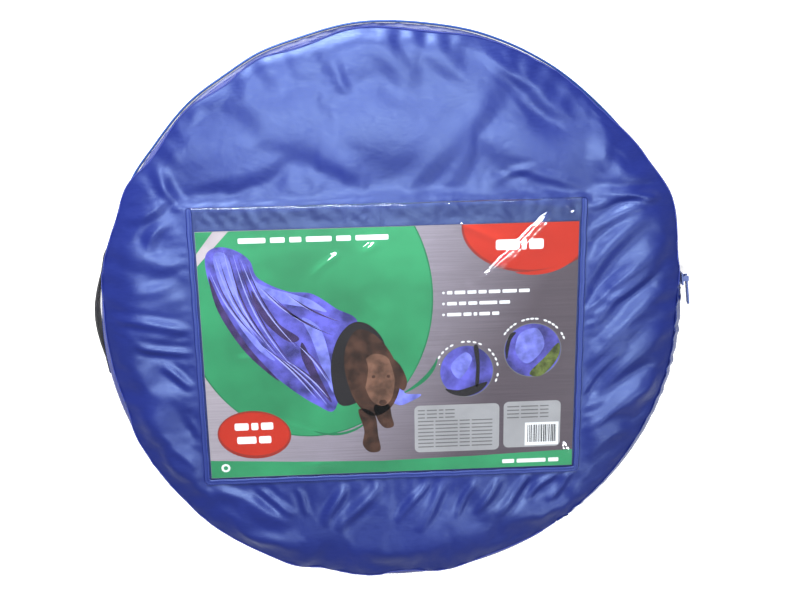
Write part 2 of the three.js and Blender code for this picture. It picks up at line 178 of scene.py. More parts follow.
def put_stage():
    bm = bmesh.new()
    bmesh.ops.create_grid(bm, x_segments=1, y_segments=1, size=6)
    mesh = bpy.data.meshes.new("floor")
    bm.to_mesh(mesh)
    bm.free()
    floor = bpy.data.objects.new("floor", mesh)
    bpy.context.scene.collection.objects.link(floor)
    pale = plain_finish("pale_floor", (0.9, 0.9, 0.9), 0.8)
    glow = pale.node_tree.nodes["Principled BSDF"].inputs
    glow["Emission Color"].default_value = (1, 1, 1, 1)
    glow["Emission Strength"].default_value = 0.45
    mesh.materials.append(pale)
    world = bpy.data.worlds.new("studio")
    world.use_nodes = True
    world.node_tree.nodes["Background"].inputs["Color"].default_value = (1, 1, 1, 1)
    world.node_tree.nodes["Background"].inputs["Strength"].default_value = 0.34
    bpy.context.scene.world = world
    bpy.context.scene.view_settings.view_transform = "Standard"
    put_lamp("key", (-0.28, 0.92, 0.85), (0, 0.12, 0.05), (0.5, 0.35), 28)
    put_lamp("softbox", (-0.04, 0.06, 1.6), (-0.04, 0.12, 0), (0.36, 0.32), 20)
    put_lamp("glint", (0.72, -0.72, 1.4), (0.05, 0, 0.06), (0.12, 0.12), 6)


# ---- finishes ----
def node(tree, kind, inputs=None, **settings):
    made = tree.nodes.new(kind)
    for key, value in settings.items():
        setattr(made, key, value)
    for key, value in (inputs or {}).items():
        if isinstance(value, bpy.types.NodeSocket):
            tree.links.new(value, made.inputs[key])
        else:
            made.inputs[key].default_value = value
    return made


def start_finish(name):
    material = bpy.data.materials.new(name)
    material.use_nodes = True
    tree = material.node_tree
    return material, tree, tree.nodes["Principled BSDF"]


def plain_finish(name, colour, roughness, metallic=0.0):
    material, tree, shader = start_finish(name)
    shader.inputs["Base Color"].default_value = (*colour, 1)
    shader.inputs["Roughness"].default_value = roughness
    shader.inputs["Metallic"].default_value = metallic
    return material


def waves(tree, place, axis, period):
    """Thread-like bands across an axis, one every period."""
    return node(tree, "ShaderNodeTexWave", {"Vector": place, "Scale": math.pi / (10 * period)},
                bands_direction=axis).outputs["Fac"]


def mixed(tree, share, low, high):
    mix = node(tree, "ShaderNodeMix", data_type="RGBA")
    tree.links.new(share, mix.inputs[0])
    mix.inputs[6].default_value = (*low, 1)
    mix.inputs[7].default_value = (*high, 1)
    return mix.outputs[2]


def ranged(tree, value, low, high, to_low=0.0, to_high=1.0):
    return node(tree, "ShaderNodeMapRange", {
        "Value": value, "From Min": low, "From Max": high, "To Min": to_low, "To Max": to_high,
    }).outputs["Result"]


def nylon_finish(name, colour, shade=0.88, crinkle=0.3, roughness=0.40):
    """Thin satin nylon: a plain weave, slubs, small crinkles and a soft sheen."""
    material, tree, shader = start_finish(name)
    place = node(tree, "ShaderNodeTexCoord").outputs["Object"]
    cloud = node(tree, "ShaderNodeTexNoise", {"Vector": place, "Scale": 14.0, "Detail": 3.0}).outputs["Fac"]
    slub = node(tree, "ShaderNodeTexNoise", {
        "Vector": node(tree, "ShaderNodeMapping", {"Vector": place, "Scale": (1, 14, 1)}).outputs["Vector"],
        "Scale": 120.0, "Detail": 2.0,
    }).outputs["Fac"]
    tone = node(tree, "ShaderNodeMath", {0: cloud, 1: slub}, operation="ADD").outputs[0]
    dark = tuple(c * shade for c in colour)
    light = tuple(min(1, c * (2 - shade)) for c in colour)
    tree.links.new(mixed(tree, ranged(tree, tone, 0.75, 1.25), dark, light), shader.inputs["Base Color"])
    gloss = ranged(tree, slub, 0.3, 0.7, roughness - 0.06, roughness + 0.06)
    tree.links.new(gloss, shader.inputs["Roughness"])
    shader.inputs["IOR"].default_value = 1.5
    shader.inputs["Specular IOR Level"].default_value = 0.9
    shader.inputs["Specular Tint"].default_value = (0.44, 0.62, 1.0, 1)
    shader.inputs["Sheen Weight"].default_value = 0.05
    shader.inputs["Sheen Roughness"].default_value = 0.3
    shader.inputs["Sheen Tint"].default_value = (0.5, 0.6, 1.0, 1)
    small = node(tree, "ShaderNodeTexNoise", {
        "Vector": place, "Scale": 20.0, "Detail": 3.0, "Roughness": 0.5, "Distortion": 0.4,
    }).outputs["Fac"]
    crease = node(tree, "ShaderNodeBump", {"Strength": crinkle, "Distance": 0.004, "Height": small})
    weave = node(tree, "ShaderNodeMath", {
        0: waves(tree, place, "X", 0.7 * MM), 1: waves(tree, place, "Y", 0.7 * MM),
    }, operation="ADD").outputs[0]
    threads = node(tree, "ShaderNodeBump", {
        "Strength": 0.12, "Distance": 0.0002, "Height": weave, "Normal": crease.outputs["Normal"],
    })
    tree.links.new(threads.outputs["Normal"], shader.inputs["Normal"])
    return material


def webbing_finish(name, colour, along="X"):
    """Woven polypropylene strap: ribs across the strap and a dull shine."""
    material, tree, shader = start_finish(name)
    place = node(tree, "ShaderNodeTexCoord").outputs["Object"]
    ribs = waves(tree, place, along, 1.6 * MM)
    cross = waves(tree, place, "Z", 1.1 * MM)
    both = node(tree, "ShaderNodeMath", {0: ribs, 1: cross}, operation="MULTIPLY").outputs[0]
    light = tuple(min(1, c * 2.2 + 0.004) for c in colour)
    tree.links.new(mixed(tree, both, colour, light), shader.inputs["Base Color"])
    shader.inputs["Roughness"].default_value = 0.62
    shader.inputs["Sheen Weight"].default_value = 0.04
    bump = node(tree, "ShaderNodeBump", {"Strength": 0.5, "Distance": 0.0004, "Height": both})
    tree.links.new(bump.outputs["Normal"], shader.inputs["Normal"])
    return material


def moulded_finish(name, colour, roughness, metallic=0.0, wear=0.12):
    """Enamel, plastic or plated wire: faint mottling in colour and gloss."""
    material, tree, shader = start_finish(name)
    place = node(tree, "ShaderNodeTexCoord").outputs["Object"]
    grain = node(tree, "ShaderNodeTexNoise", {"Vector": place, "Scale": 420.0, "Detail": 3.0}).outputs["Fac"]
    dark = tuple(c * (1 - wear) for c in colour)
    light = tuple(min(1, c * (1 + wear) + 0.01) for c in colour)
    tree.links.new(mixed(tree, grain, dark, light), shader.inputs["Base Color"])
    gloss = ranged(tree, grain, 0.3, 0.7, roughness * 0.8, roughness * 1.2)
    tree.links.new(gloss, shader.inputs["Roughness"])
    shader.inputs["Metallic"].default_value = metallic
    bump = node(tree, "ShaderNodeBump", {"Strength": 0.08, "Distance": 0.0002, "Height": grain})
    tree.links.new(bump.outputs["Normal"], shader.inputs["Normal"])
    return material


def print_finish(name, colour, spread=0.10, roughness=0.38, scale=22.0):
    """Ink on card: a colour that varies a little, under a thin gloss."""
    material, tree, shader = start_finish(name)
    place = node(tree, "ShaderNodeTexCoord").outputs["Object"]
    cloud = node(tree, "ShaderNodeTexNoise", {"Vector": place, "Scale": scale, "Detail": 4.0}).outputs["Fac"]
    dark = tuple(c * (1 - spread) for c in colour)
    light = tuple(min(1, c * (1 + spread)) for c in colour)
    tree.links.new(mixed(tree, ranged(tree, cloud, 0.35, 0.65), dark, light), shader.inputs["Base Color"])
    shader.inputs["Roughness"].default_value = roughness
    shader.inputs["Specular IOR Level"].default_value = 0.15
    return material


def silver_print_painted_sheen_finish(name):
    """The card's ground: silver ink with fine strokes across, with painted sheen lighter at its upper left
    and painted shade darker to its right and bottom.
    """
    material, tree, shader = start_finish(name)
    place = node(tree, "ShaderNodeTexCoord").outputs["Object"]
    across = node(tree, "ShaderNodeSeparateXYZ", {"Vector": place})
    strokes = node(tree, "ShaderNodeTexNoise", {
        "Vector": node(tree, "ShaderNodeMapping", {"Vector": place, "Scale": (8, 420, 1)}).outputs["Vector"],
        "Scale": 1.6, "Detail": 3.0,
    }).outputs["Fac"]
    # Painted sheen and shade: the silver is lighter at the left and top, where the lamps fall, and darker to
    # the right and bottom.
    painted_sheen_across = ranged(tree, across.outputs["X"], CARD_LOW.x, CARD_HIGH.x)
    down = ranged(tree, across.outputs["Y"], CARD_LOW.y, CARD_HIGH.y, 0.34, 0.0)
    both = node(tree, "ShaderNodeMath", {0: painted_sheen_across, 1: down}, operation="ADD").outputs[0]
    ramp = node(tree, "ShaderNodeValToRGB", {"Fac": both})
    stops = ramp.color_ramp.elements
    stops[0].color, stops[1].color = (0.52, 0.46, 0.49, 1), (0.115, 0.090, 0.108, 1)
    middle = stops.new(0.62)
    middle.color = (0.34, 0.30, 0.35, 1)
    shade = node(tree, "ShaderNodeMix", {0: 1.0, 6: ramp.outputs["Color"]}, data_type="RGBA",
                 blend_type="MULTIPLY")
    tree.links.new(mixed(tree, ranged(tree, strokes, 0.3, 0.7), (0.8, 0.8, 0.8), (1, 1, 1)), shade.inputs[7])
    tree.links.new(shade.outputs[2], shader.inputs["Base Color"])
    shader.inputs["Roughness"].default_value = 0.45
    shader.inputs["Specular IOR Level"].default_value = 0.2
    return material


def vinyl_finish(name):
    """Clear vinyl: what lies behind shows through, with a wet-looking shine on its ripples."""
    material = bpy.data.materials.new(name)
    material.use_nodes = True
    tree = material.node_tree
    tree.nodes.clear()
    place = node(tree, "ShaderNodeTexCoord").outputs["Object"]
    ripple = node(tree, "ShaderNodeTexNoise", {
        "Vector": node(tree, "ShaderNodeMapping", {
            "Vector": place, "Rotation": (0, 0, math.radians(38)), "Scale": (1, 2.6, 1),
        }).outputs["Vector"],
        "Scale": 17.0, "Detail": 3.0, "Distortion": 0.6,
    }).outputs["Fac"]
    bump = node(tree, "ShaderNodeBump", {"Strength": 0.12, "Distance": 0.006, "Height": ripple})
    clear = node(tree, "ShaderNodeBsdfTransparent", {"Color": (0.95, 0.96, 0.97, 1)})
    shine = node(tree, "ShaderNodeBsdfGlossy", {
        "Color": (0.9, 0.94, 1.0, 1), "Roughness": 0.06, "Normal": bump.outputs["Normal"],
    })
    rim = node(tree, "ShaderNodeFresnel", {"IOR": 1.45, "Normal": bump.outputs["Normal"]})
    share = ranged(tree, rim.outputs["Fac"], 0.0, 1.0, 0.0, 0.75)
    both = node(tree, "ShaderNodeMixShader", {0: share, 1: clear.outputs[0], 2: shine.outputs[0]})
    out = node(tree, "ShaderNodeOutputMaterial")
    tree.links.new(both.outputs[0], out.inputs["Surface"])
    return material


NYLON_BLUE = (0.0055, 0.0105, 0.118)
FINISH = {
    "nylon": nylon_finish("bag_nylon", NYLON_BLUE),
    "nylon_wall": nylon_finish("wall_nylon", (0.007, 0.013, 0.130)),
    "nylon_inside": nylon_finish("tunnel_nylon", (0.012, 0.021, 0.175), crinkle=0.5),
    "binding": nylon_finish("binding_nylon", (0.006, 0.012, 0.120), crinkle=0.2, roughness=0.45),
    # The piping's lighter cyan-blue is partly its own colour and partly a painted highlight along the bag's
    # edge.
    "piping": nylon_finish("piping_cord_painted_highlight", (0.020, 0.060, 0.240), crinkle=0.15, roughness=0.4),
    "thread": plain_finish("sewing_thread", (0.050, 0.075, 0.400), 0.5),
    "dark_thread": plain_finish("black_thread", (0.02, 0.02, 0.022), 0.6),
    "zip_tape": webbing_finish("zip_tape_weave", (0.012, 0.022, 0.150)),
    "zip_coil": moulded_finish("zip_coil_nylon", (0.022, 0.040, 0.240), 0.3),
    "enamel": moulded_finish("slider_enamel", (0.050, 0.080, 0.230), 0.3, 0.2),
    "stop_metal": moulded_finish("stop_metal", (0.45, 0.46, 0.48), 0.3, 1.0),
    "webbing": webbing_finish("black_webbing", (0.012, 0.012, 0.014)),
    "steel": moulded_finish("zinc_wire", (0.62, 0.63, 0.65), 0.28, 1.0, wear=0.06),
    # The card's silver ground carries painted sheen and shade, lighter at the upper left and darker to the
    # right and bottom.
    "card": silver_print_painted_sheen_finish("card_silver_painted_sheen"),
    "vinyl": vinyl_finish("clear_vinyl"),
}


# ---- shaping helpers ----
def edge_bump(degrees):
    """How far the bag's edge stands out at an angle, in metres, for one angle or many."""
    angles = np.array([a for a, _ in EDGE_BUMPS] + [360 + EDGE_BUMPS[0][0]], float)
    heights = np.array([h for _, h in EDGE_BUMPS] + [EDGE_BUMPS[0][1]], float)
    at = np.mod(degrees, 360)
    after = np.clip(np.searchsorted(angles, at, side="right"), 1, len(angles) - 1)
    share = (at - angles[after - 1]) / (angles[after] - angles[after - 1])
    smooth = share * share * (3 - 2 * share)
    return (heights[after - 1] * (1 - smooth) + heights[after] * smooth) * MM


def smooth_step(value, start, end):
    t = np.clip((value - start) / (end - start), 0, 1)
    return t * t * (3 - 2 * t)


def crease_height(x, y, creases):
    """The height in metres that creases add at points given in millimetres."""
    total = np.zeros_like(x)
    for (ax, ay), (bx, by), width, height in creases:
        dx, dy = bx - ax, by - ay
        length = math.hypot(dx, dy)
        along = ((x - ax) * dx + (y - ay) * dy) / length ** 2
        wander = 0.35 * width * np.sin(along * 5 + ax * 0.13)
        aside = ((x - ax) * -dy + (y - ay) * dx) / length + wander
        taper = np.clip(np.sin(np.clip(along, 0, 1) * math.pi), 0, 1) ** 0.55
        taper *= np.exp(-np.square(np.clip(np.abs(along - 0.5) - 0.5, 0, None) * 6))
        across = np.abs(aside) / width
        ridge = np.exp(-across ** 1.6) - 0.45 * np.exp(-np.square(across - 1.9))
        total += height * taper * ridge
    return total * MM


def cloudy(points, scale, seed=0.0):
    """Smooth noise at many points, from about -1 to 1."""
    return np.array([noise.noise(Vector((p[0] * scale + seed, p[1] * scale - seed, seed))) for p in points])


def coords(mesh):
    co = np.zeros(len(mesh.vertices) * 3)
    mesh.vertices.foreach_get("co", co)
    return co.reshape(-1, 3)


def set_coords(mesh, co):
    mesh.vertices.foreach_set("co", np.ascontiguousarray(co, dtype=np.float32).ravel())
    mesh.update()


def make_piece(name, bm, finish, body=None, smooth=True, replaces=()):
    """A finished bmesh becomes a piece of the bag that rides on a body."""
    mesh = bpy.data.meshes.new(name)
    bm.to_mesh(mesh)
    bm.free()
    piece = bpy.data.objects.new(name, mesh)
    bpy.context.scene.collection.objects.link(piece)
    mesh.materials.append(FINISH[finish] if isinstance(finish, str) else finish)
    mesh.polygons.foreach_set("use_smooth", [smooth] * len(mesh.polygons))
    if replaces:
        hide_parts(*replaces)
    if body:
        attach(piece, body)
    return piece


def thicken(piece, wall, offset=-1.0):
    solid = piece.modifiers.new("thickness", "SOLIDIFY")
    solid.thickness = wall
    solid.offset = offset


def round_off(piece, levels=1):
    finer = piece.modifiers.new("rounding", "SUBSURF")
    finer.levels = finer.render_levels = levels


def soften(piece, width, segments=2):
    edge = piece.modifiers.new("edges", "BEVEL")
    edge.width = width
    edge.segments = segments
    edge.limit_method = "ANGLE"


def cloth_disc(cells, radius):
    """A square grid drawn out to a disc, so that a round cloth has even cells."""
    bm = bmesh.new()
    bmesh.ops.create_grid(bm, x_segments=cells, y_segments=cells, size=1)
    for v in bm.verts:
        x, y = v.co.xy
        v.co = Vector((x * math.sqrt(1 - y * y / 2), y * math.sqrt(1 - x * x / 2), 0)) * radius
    return bm


def ring(profile, steps, closed=True):
    """A profile of (radius, level) points spun about Z."""
    bm = bmesh.new()
    verts = [bm.verts.new((r, 0, z)) for r, z in profile]
    pairs = list(zip(verts, verts[1:] + verts[:1])) if closed else list(zip(verts, verts[1:]))
    edges = [bm.edges.new(pair) for pair in pairs]
    bmesh.ops.spin(bm, geom=verts + edges, cent=(0, 0, 0), axis=(0, 0, 1), angle=math.tau,
                   steps=steps, use_merge=True)
    bmesh.ops.remove_doubles(bm, verts=bm.verts, dist=1e-6)
    bmesh.ops.recalc_face_normals(bm, faces=bm.faces)
    return bm


def round_profile(radius, level, thick, sides):
    turn = math.tau / sides
    return [(radius + thick / 2 * math.cos(i * turn), level + thick / 2 * math.sin(i * turn))
            for i in range(sides)]


def band(radius, low, high, rows, start, end, step=1.0):
    """An upright strip of cloth along the bag's wall, between two angles."""
    steps = max(2, round((end - start) / step))
    bm = bmesh.new()
    levels = [low + (high - low) * i / rows for i in range(rows + 1)]
    verts = [bm.verts.new((radius, 0, z)) for z in levels]
    edges = [bm.edges.new(pair) for pair in zip(verts, verts[1:])]
    bmesh.ops.spin(bm, geom=verts + edges, cent=(0, 0, 0), axis=(0, 0, 1),
                   angle=math.radians(end - start), steps=steps)
    bmesh.ops.rotate(bm, verts=bm.verts, cent=(0, 0, 0), matrix=Matrix.Rotation(math.radians(start), 3, "Z"))
    bmesh.ops.recalc_face_normals(bm, faces=bm.faces)
    middle = math.radians((start + end) / 2)
    centre = Vector((math.cos(middle), math.sin(middle))) * radius
    face = min(bm.faces, key=lambda f: (f.calc_center_median().xy - centre).length)
    if face.normal.dot(face.calc_center_median() - Vector((0, 0, low))) < 0:
        bmesh.ops.reverse_faces(bm, faces=bm.faces)
    return bm


def follow_edge(piece, share):
    """Moves a round piece in and out with the bag's uneven edge; share depends on the level."""
    co = coords(piece.data)
    radius = np.hypot(co[:, 0], co[:, 1])
    degrees = np.degrees(np.arctan2(co[:, 1], co[:, 0]))
    grow = 1 + edge_bump(degrees) * share(co[:, 2]) / np.maximum(radius, 0.01)
    co[:, 0] *= grow
    co[:, 1] *= grow
    set_coords(piece.data, co)
    return piece


def wall_share(level):
    """How much of the edge's unevenness the wall has at a level: none at the zip, all at the lip."""
    return smooth_step(level, COIL_LID[1], LIP) + 0.3 * smooth_step(-level, -0.02, 0)


BOX_CORNERS = ((-1, -1), (1, -1), (1, 1), (-1, 1))
STRAP_STITCH = (2.4 * MM, 1.8 * MM, 0.6 * MM)  # gap, length and thickness of a stitch in webbing


def stitches(bm, path, gap=3.2 * MM, length=2.2 * MM, thick=0.45 * MM, lift=Vector((0, 0, 0))):
    """Short thread stitches along a path of points."""
    carried = gap / 2
    for a, b in zip(path, path[1:]):
        run = (b - a).length
        if run < 1e-9:
            continue
        heading = (b - a) / run
        turn = heading.to_track_quat("X", "Z").to_matrix().to_4x4()
        while carried < run:
            place = Matrix.Translation(a + heading * carried + lift)
            size = Matrix.Diagonal((length / 2, thick / 2, thick / 2, 1))
            bmesh.ops.create_icosphere(bm, subdivisions=1, radius=1, matrix=place @ turn @ size)
            carried += gap
        carried -= run


# ---- front cloth ----
def front_level(x, y):
    """The front cloth's level at points in metres, before it settles."""
    radius = np.hypot(x, y)
    degrees = np.degrees(np.arctan2(y, x))
    edge = WALL + edge_bump(degrees)
    inward = edge - radius
    fall = 1 - np.clip(inward / 0.034, 0, 1)
    level = FRONT - (FRONT - LIP) * fall ** 2.4
    path = card_path(x, y)
    swell = 4.0 * MM * smooth_step(inward, 0.006, 0.05) * away_from_pocket(x, y, 0.004, 0.06) * (1 - path)
    past = y - POCKET_HIGH.y
    valley = VALLEY * (smooth_step(past, 0.0, 0.004) - 0.5 * smooth_step(past, 0.004, 0.062))
    swell -= valley * path * smooth_step(inward, 0.0, 0.03)
    pucker = np.sin(np.radians(degrees) * 71 + 2.2 * np.sin(np.radians(degrees) * 5))
    pucker *= 0.5 + 0.5 * np.sin(np.radians(degrees) * 13 + 1.0)
    rim = 0.9 * MM * pucker * smooth_step(0.04 - inward, 0, 0.034)
    return level + swell + rim


def away_from_pocket(x, y, start, end):
    """0 on the pocket, rising to 1 away from it."""
    out_x = np.maximum(POCKET_LOW.x - x, x - POCKET_HIGH.x)
    out_y = np.maximum(POCKET_LOW.y - y, y - POCKET_HIGH.y)
    outside = np.hypot(np.maximum(out_x, 0), np.maximum(out_y, 0)) + np.minimum(np.maximum(out_x, out_y), 0)
    return smooth_step(outside, start, end)


def settle(piece, held, growth, frames, cap):
    """Lets a cloth buckle by simulation where it isn't held, and keeps the result."""
    start = coords(piece.data)
    group = piece.vertex_groups.new(name="held")
    for i, weight in enumerate(held):
        if weight > 0:
            group.add([i], float(weight), "REPLACE")
    cloth = piece.modifiers.new("settle", "CLOTH")
    cloth.settings.quality = 6
    cloth.settings.mass = 0.12
    cloth.settings.tension_stiffness = 18
    cloth.settings.compression_stiffness = 18
    cloth.settings.shear_stiffness = 6
    cloth.settings.bending_stiffness = 0.35
    cloth.settings.vertex_group_mass = group.name
    cloth.settings.shrink_min = -growth
    cloth.settings.effector_weights.gravity = 0
    cloth.point_cache.frame_end = frames
    scene = bpy.context.scene
    for moment in range(1, frames + 1):
        scene.frame_set(moment)
    settled = coords(piece.evaluated_get(bpy.context.evaluated_depsgraph_get()).data)
    piece.modifiers.remove(cloth)
    piece.vertex_groups.remove(group)
    scene.frame_set(1)
    move = settled - start
    far = np.linalg.norm(move, axis=1)
    move *= (np.minimum(far, cap) / np.maximum(far, 1e-9))[:, None]
    set_coords(piece.data, start + move)


def refine(piece):
    """One level of subdivision, kept as the piece's own mesh."""
    round_off(piece)
    finer = bpy.data.meshes.new_from_object(piece.evaluated_get(bpy.context.evaluated_depsgraph_get()))
    piece.modifiers.clear()
    piece.data = finer


def card_path(x, y):
    """1 where the card passes over the cloth as it slides out of the pocket, fading to 0 beside it."""
    return smooth_step(y, POCKET_HIGH.y, POCKET_HIGH.y + 0.004) * (
        1 - smooth_step(np.abs(x - CARD_MIDDLE.x), *PATH_SIDE))


def pocket_puckers(x, y):
    """Small gathers that run out from the pocket's stitching."""
    out_x = np.maximum(POCKET_LOW.x - x, x - POCKET_HIGH.x)
    out_y = POCKET_LOW.y - y
    beside = smooth_step(out_x, 0, 0.003) * (1 - smooth_step(out_x, 0.006, 0.036))
    beside *= (y < POCKET_HIGH.y) & (y > POCKET_LOW.y)
    below = smooth_step(out_y, 0, 0.003) * (1 - smooth_step(out_y, 0.008, 0.044))
    below *= (x > POCKET_LOW.x) & (x < POCKET_HIGH.x)
    lean = np.where(x > 0, -0.55, 0.18)
    wave_y = np.sin((y + lean * np.abs(out_x)) * 430 + 2.5 * np.sin(y * 60))
    wave_x = np.sin((x + 0.5 * x / 0.2 * out_y) * 330 + 2.5 * np.sin(x * 48))
    patchy = 0.6 + 0.4 * np.sin(x * 37 + y * 53)
    return MM * patchy * (0.3 * wave_y * beside + 0.4 * wave_x * below)


def make_front():
    bm = cloth_disc(108, 1.0)
    front = make_piece("front_cloth", bm, "nylon", replaces=("front_panel", "front_hinge_strip"))
    co = coords(front.data)
    degrees = np.degrees(np.arctan2(co[:, 1], co[:, 0]))
    share = np.hypot(co[:, 0], co[:, 1])
    edge = WALL + edge_bump(degrees) * smooth_step(share, 0.72, 1.0)
    co[:, 0] *= edge
    co[:, 1] *= edge
    x, y = co[:, 0], co[:, 1]
    loose = away_from_pocket(x, y, 0.0, 0.012)
    inward = edge - np.hypot(x, y)
    within = smooth_step(inward, 0.0, 0.02)
    broad = [crease for crease in CREASES if crease[2] >= BROAD_CREASE]
    narrow = [(a, b, width * 0.7, height) for a, b, width, height in CREASES if width < BROAD_CREASE]
    co[:, 2] = front_level(x, y) + crease_height(x / MM, y / MM, broad) * loose * within
    co[:, 2] += 1.5 * MM * cloudy(co, 17, 3.1) * loose * within
    set_coords(front.data, co)
    held = np.maximum(1 - away_from_pocket(x, y, 0.0, 0.014), 1 - smooth_step(inward, 0.002, 0.012))
    settle(front, held, GROWTH, SETTLE_FRAMES, SETTLE_CAP)
    refine(front)
    co = coords(front.data)
    x, y = co[:, 0], co[:, 1]
    inward = WALL + edge_bump(np.degrees(np.arctan2(y, x))) - np.hypot(x, y)
    within = smooth_step(inward, 0.0, 0.02)
    loose = away_from_pocket(x, y, 0.0, 0.004)
    co[:, 2] += (crease_height(x / MM, y / MM, narrow) + pocket_puckers(x, y)) * loose * within
    strip = smooth_step(y, CARD_HIGH.y + 0.002, CARD_HIGH.y + 0.007) * (1 - smooth_step(y, *STRIP_TOP))
    strip *= 1 - smooth_step(np.abs(x - CARD_MIDDLE.x), *STRIP_SIDE)
    rumple = cloudy(np.stack([x + 0.6 * y, y * 0.5], 1), 90, 6.6) + 0.5 * cloudy(co, 130, 1.9)
    co[:, 2] += 0.9 * MM * (rumple - 0.4) * strip
    proud = np.maximum(co[:, 2] - FRONT, 0)
    kept_low = FRONT + 0.2 * MM - SOFT_LIMIT * np.log1p(np.exp((FRONT - co[:, 2]) / SOFT_LIMIT))
    bulging = co[:, 2] + MOST_PROUD * np.tanh(proud / MOST_PROUD) - proud
    path = card_path(x, y)
    co[:, 2] = bulging * (1 - path) + kept_low * path
    set_coords(front.data, co)
    thicken(front, 0.5 * MM)
    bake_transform(front)


# ---- wall, back and piping ----
def pucker_wall(piece, height, count, seed):
    co = coords(piece.data)
    turn = np.arctan2(co[:, 1], co[:, 0])
    radius = np.hypot(co[:, 0], co[:, 1])
    wave = np.sin(turn * count + 2.6 * np.sin(turn * 9 + seed))
    wave += 0.6 * np.sin(turn * count * 1.73 + seed + co[:, 2] * 90)
    swell = height * wave * (0.55 + 0.45 * np.sin(turn * 7 + seed * 2))
    co[:, 0] *= 1 + swell / radius
    co[:, 1] *= 1 + swell / radius
    set_coords(piece.data, co)


def turn_up_ends(piece, start, end, over, level):
    """Raises a band's lower edge near both ends, as a tape that is folded away there."""
    co = coords(piece.data)
    turn = np.mod(np.degrees(np.arctan2(co[:, 1], co[:, 0])) - start + 5, 360) - 5
    near = 1 - smooth_step(np.minimum(turn, end - start - turn), over * 0.6, over)
    top, bottom = co[:, 2].max(), co[:, 2].min()
    share = (co[:, 2] - bottom) / (top - bottom)
    co[:, 2] += near * (1 - share) * (level - bottom)
    set_coords(piece.data, co)


def make_wall():
    """The wall's cloth: low along the zip, and full height where the lid isn't unzipped."""
    radius = WALL - 0.5 * MM
    zip_end = 2.0
    low = make_piece("wall_cloth", band(radius, 1.2 * MM, WALL_TOP_AT_ZIP, 8, ZIP_FROM - zip_end,
                                        ZIP_TO + zip_end, 0.6), "nylon_wall")
    high = make_piece("wall_cloth_at_fold", band(radius, 1.2 * MM, LIP + 1.5 * MM, 12, ZIP_TO + zip_end,
                                                 ZIP_FROM + 360 - zip_end, 0.6),
                      "nylon_wall")
    over_stop = COIL_LID[1] + 0.6 * MM
    for name, start, end in (("wall_corner_closed", ZIP_FROM - zip_end - 0.1, ZIP_FROM - 0.3),
                             ("wall_corner_open", ZIP_TO + 0.3, ZIP_TO + zip_end + 0.1)):
        corner = make_piece(name, band(radius, over_stop, LIP + 1.5 * MM, 4, start, end, 0.3),
                            "nylon_wall", "bag")
        follow_edge(corner, wall_share)
        thicken(corner, NYLON_THICK)
    for piece in (low, high):
        follow_edge(piece, wall_share)
        pucker_wall(piece, 0.7 * MM, 90, 1.3)
        thicken(piece, NYLON_THICK)
        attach(piece, "bag")
    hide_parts("side_wall")


def make_back():
    bm = cloth_disc(84, 1.0)
    bmesh.ops.reverse_faces(bm, faces=bm.faces)
    back = make_piece("back_cloth", bm, "nylon_wall", replaces=("back_panel",))
    co = coords(back.data)
    degrees = np.degrees(np.arctan2(co[:, 1], co[:, 0]))
    share = np.hypot(co[:, 0], co[:, 1])
    edge = WALL - 0.5 * MM + 0.3 * edge_bump(degrees) * smooth_step(share, 0.7, 1.0)
    co[:, 0] *= edge
    co[:, 1] *= edge
    turn = np.radians(degrees)
    folds = np.abs(np.sin(turn * 23 + 2 * np.sin(turn * 4))) * smooth_step(share, 0.45, 0.95)
    lumps = np.clip(cloudy(co, 12, 5.7) + 0.2, 0, 1)
    inside = smooth_step(1 - share, 0.0, 0.04)
    co[:, 2] = 0.35 * MM + (1.4 * MM * folds + 1.6 * MM * lumps) * inside
    set_coords(back.data, co)
    round_off(back)
    thicken(back, 0.5 * MM, 1.0)
    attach(back, "bag")


def make_piping():
    low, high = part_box("back_piping")
    thick = high.z - low.z
    bm = ring(round_profile(high.x - 1.5 * MM, thick / 2, thick, 10), 480)
    # Its finish is lighter than the cloth: partly the piping's own colour, partly a painted highlight.
    piping = make_piece("back_piping_cord", bm, "piping", replaces=("back_piping",))
    follow_edge(piping, wall_share)
    co = coords(piping.data)
    co[:, 2] = np.maximum(co[:, 2], 0)
    set_coords(piping.data, co)
    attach(piping, "bag")


# ---- zip ----
TAPE_PAST = 1.4  # degrees: how far the bag's tape and coil run past each end of the zip
LID_COIL_SHORT = 3.5  # degrees: how far the lid's coil stops short of it


def make_tapes():
    radius = WALL - 0.5 * MM
    past = 0.2
    base = band(radius, WALL_TOP_AT_ZIP - 1.5 * MM, COIL_BASE[0] + 0.8 * MM, 5,
                ZIP_FROM - TAPE_PAST, ZIP_TO + TAPE_PAST, 0.6)
    lid = band(radius, COIL_LID[1] - 0.8 * MM, LIP + 1.2 * MM, 5, ZIP_FROM + past, ZIP_TO - past, 0.5)
    for name, bm, node_name, body in (
        ("base_tape", base, "zip_tape_base", "bag"), ("lid_tape", lid, "zip_tape_lid", "lid"),
    ):
        tape = make_piece(name, bm, "zip_tape", replaces=(node_name,))
        if body == "lid":
            turn_up_ends(tape, ZIP_FROM + past, ZIP_TO - past, 3.8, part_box("zip_slider")[1].z + 0.8 * MM)
        follow_edge(tape, wall_share)
        pucker_wall(tape, 0.35 * MM, 70, 0.4)
        thicken(tape, 0.8 * MM)
        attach(tape, body)


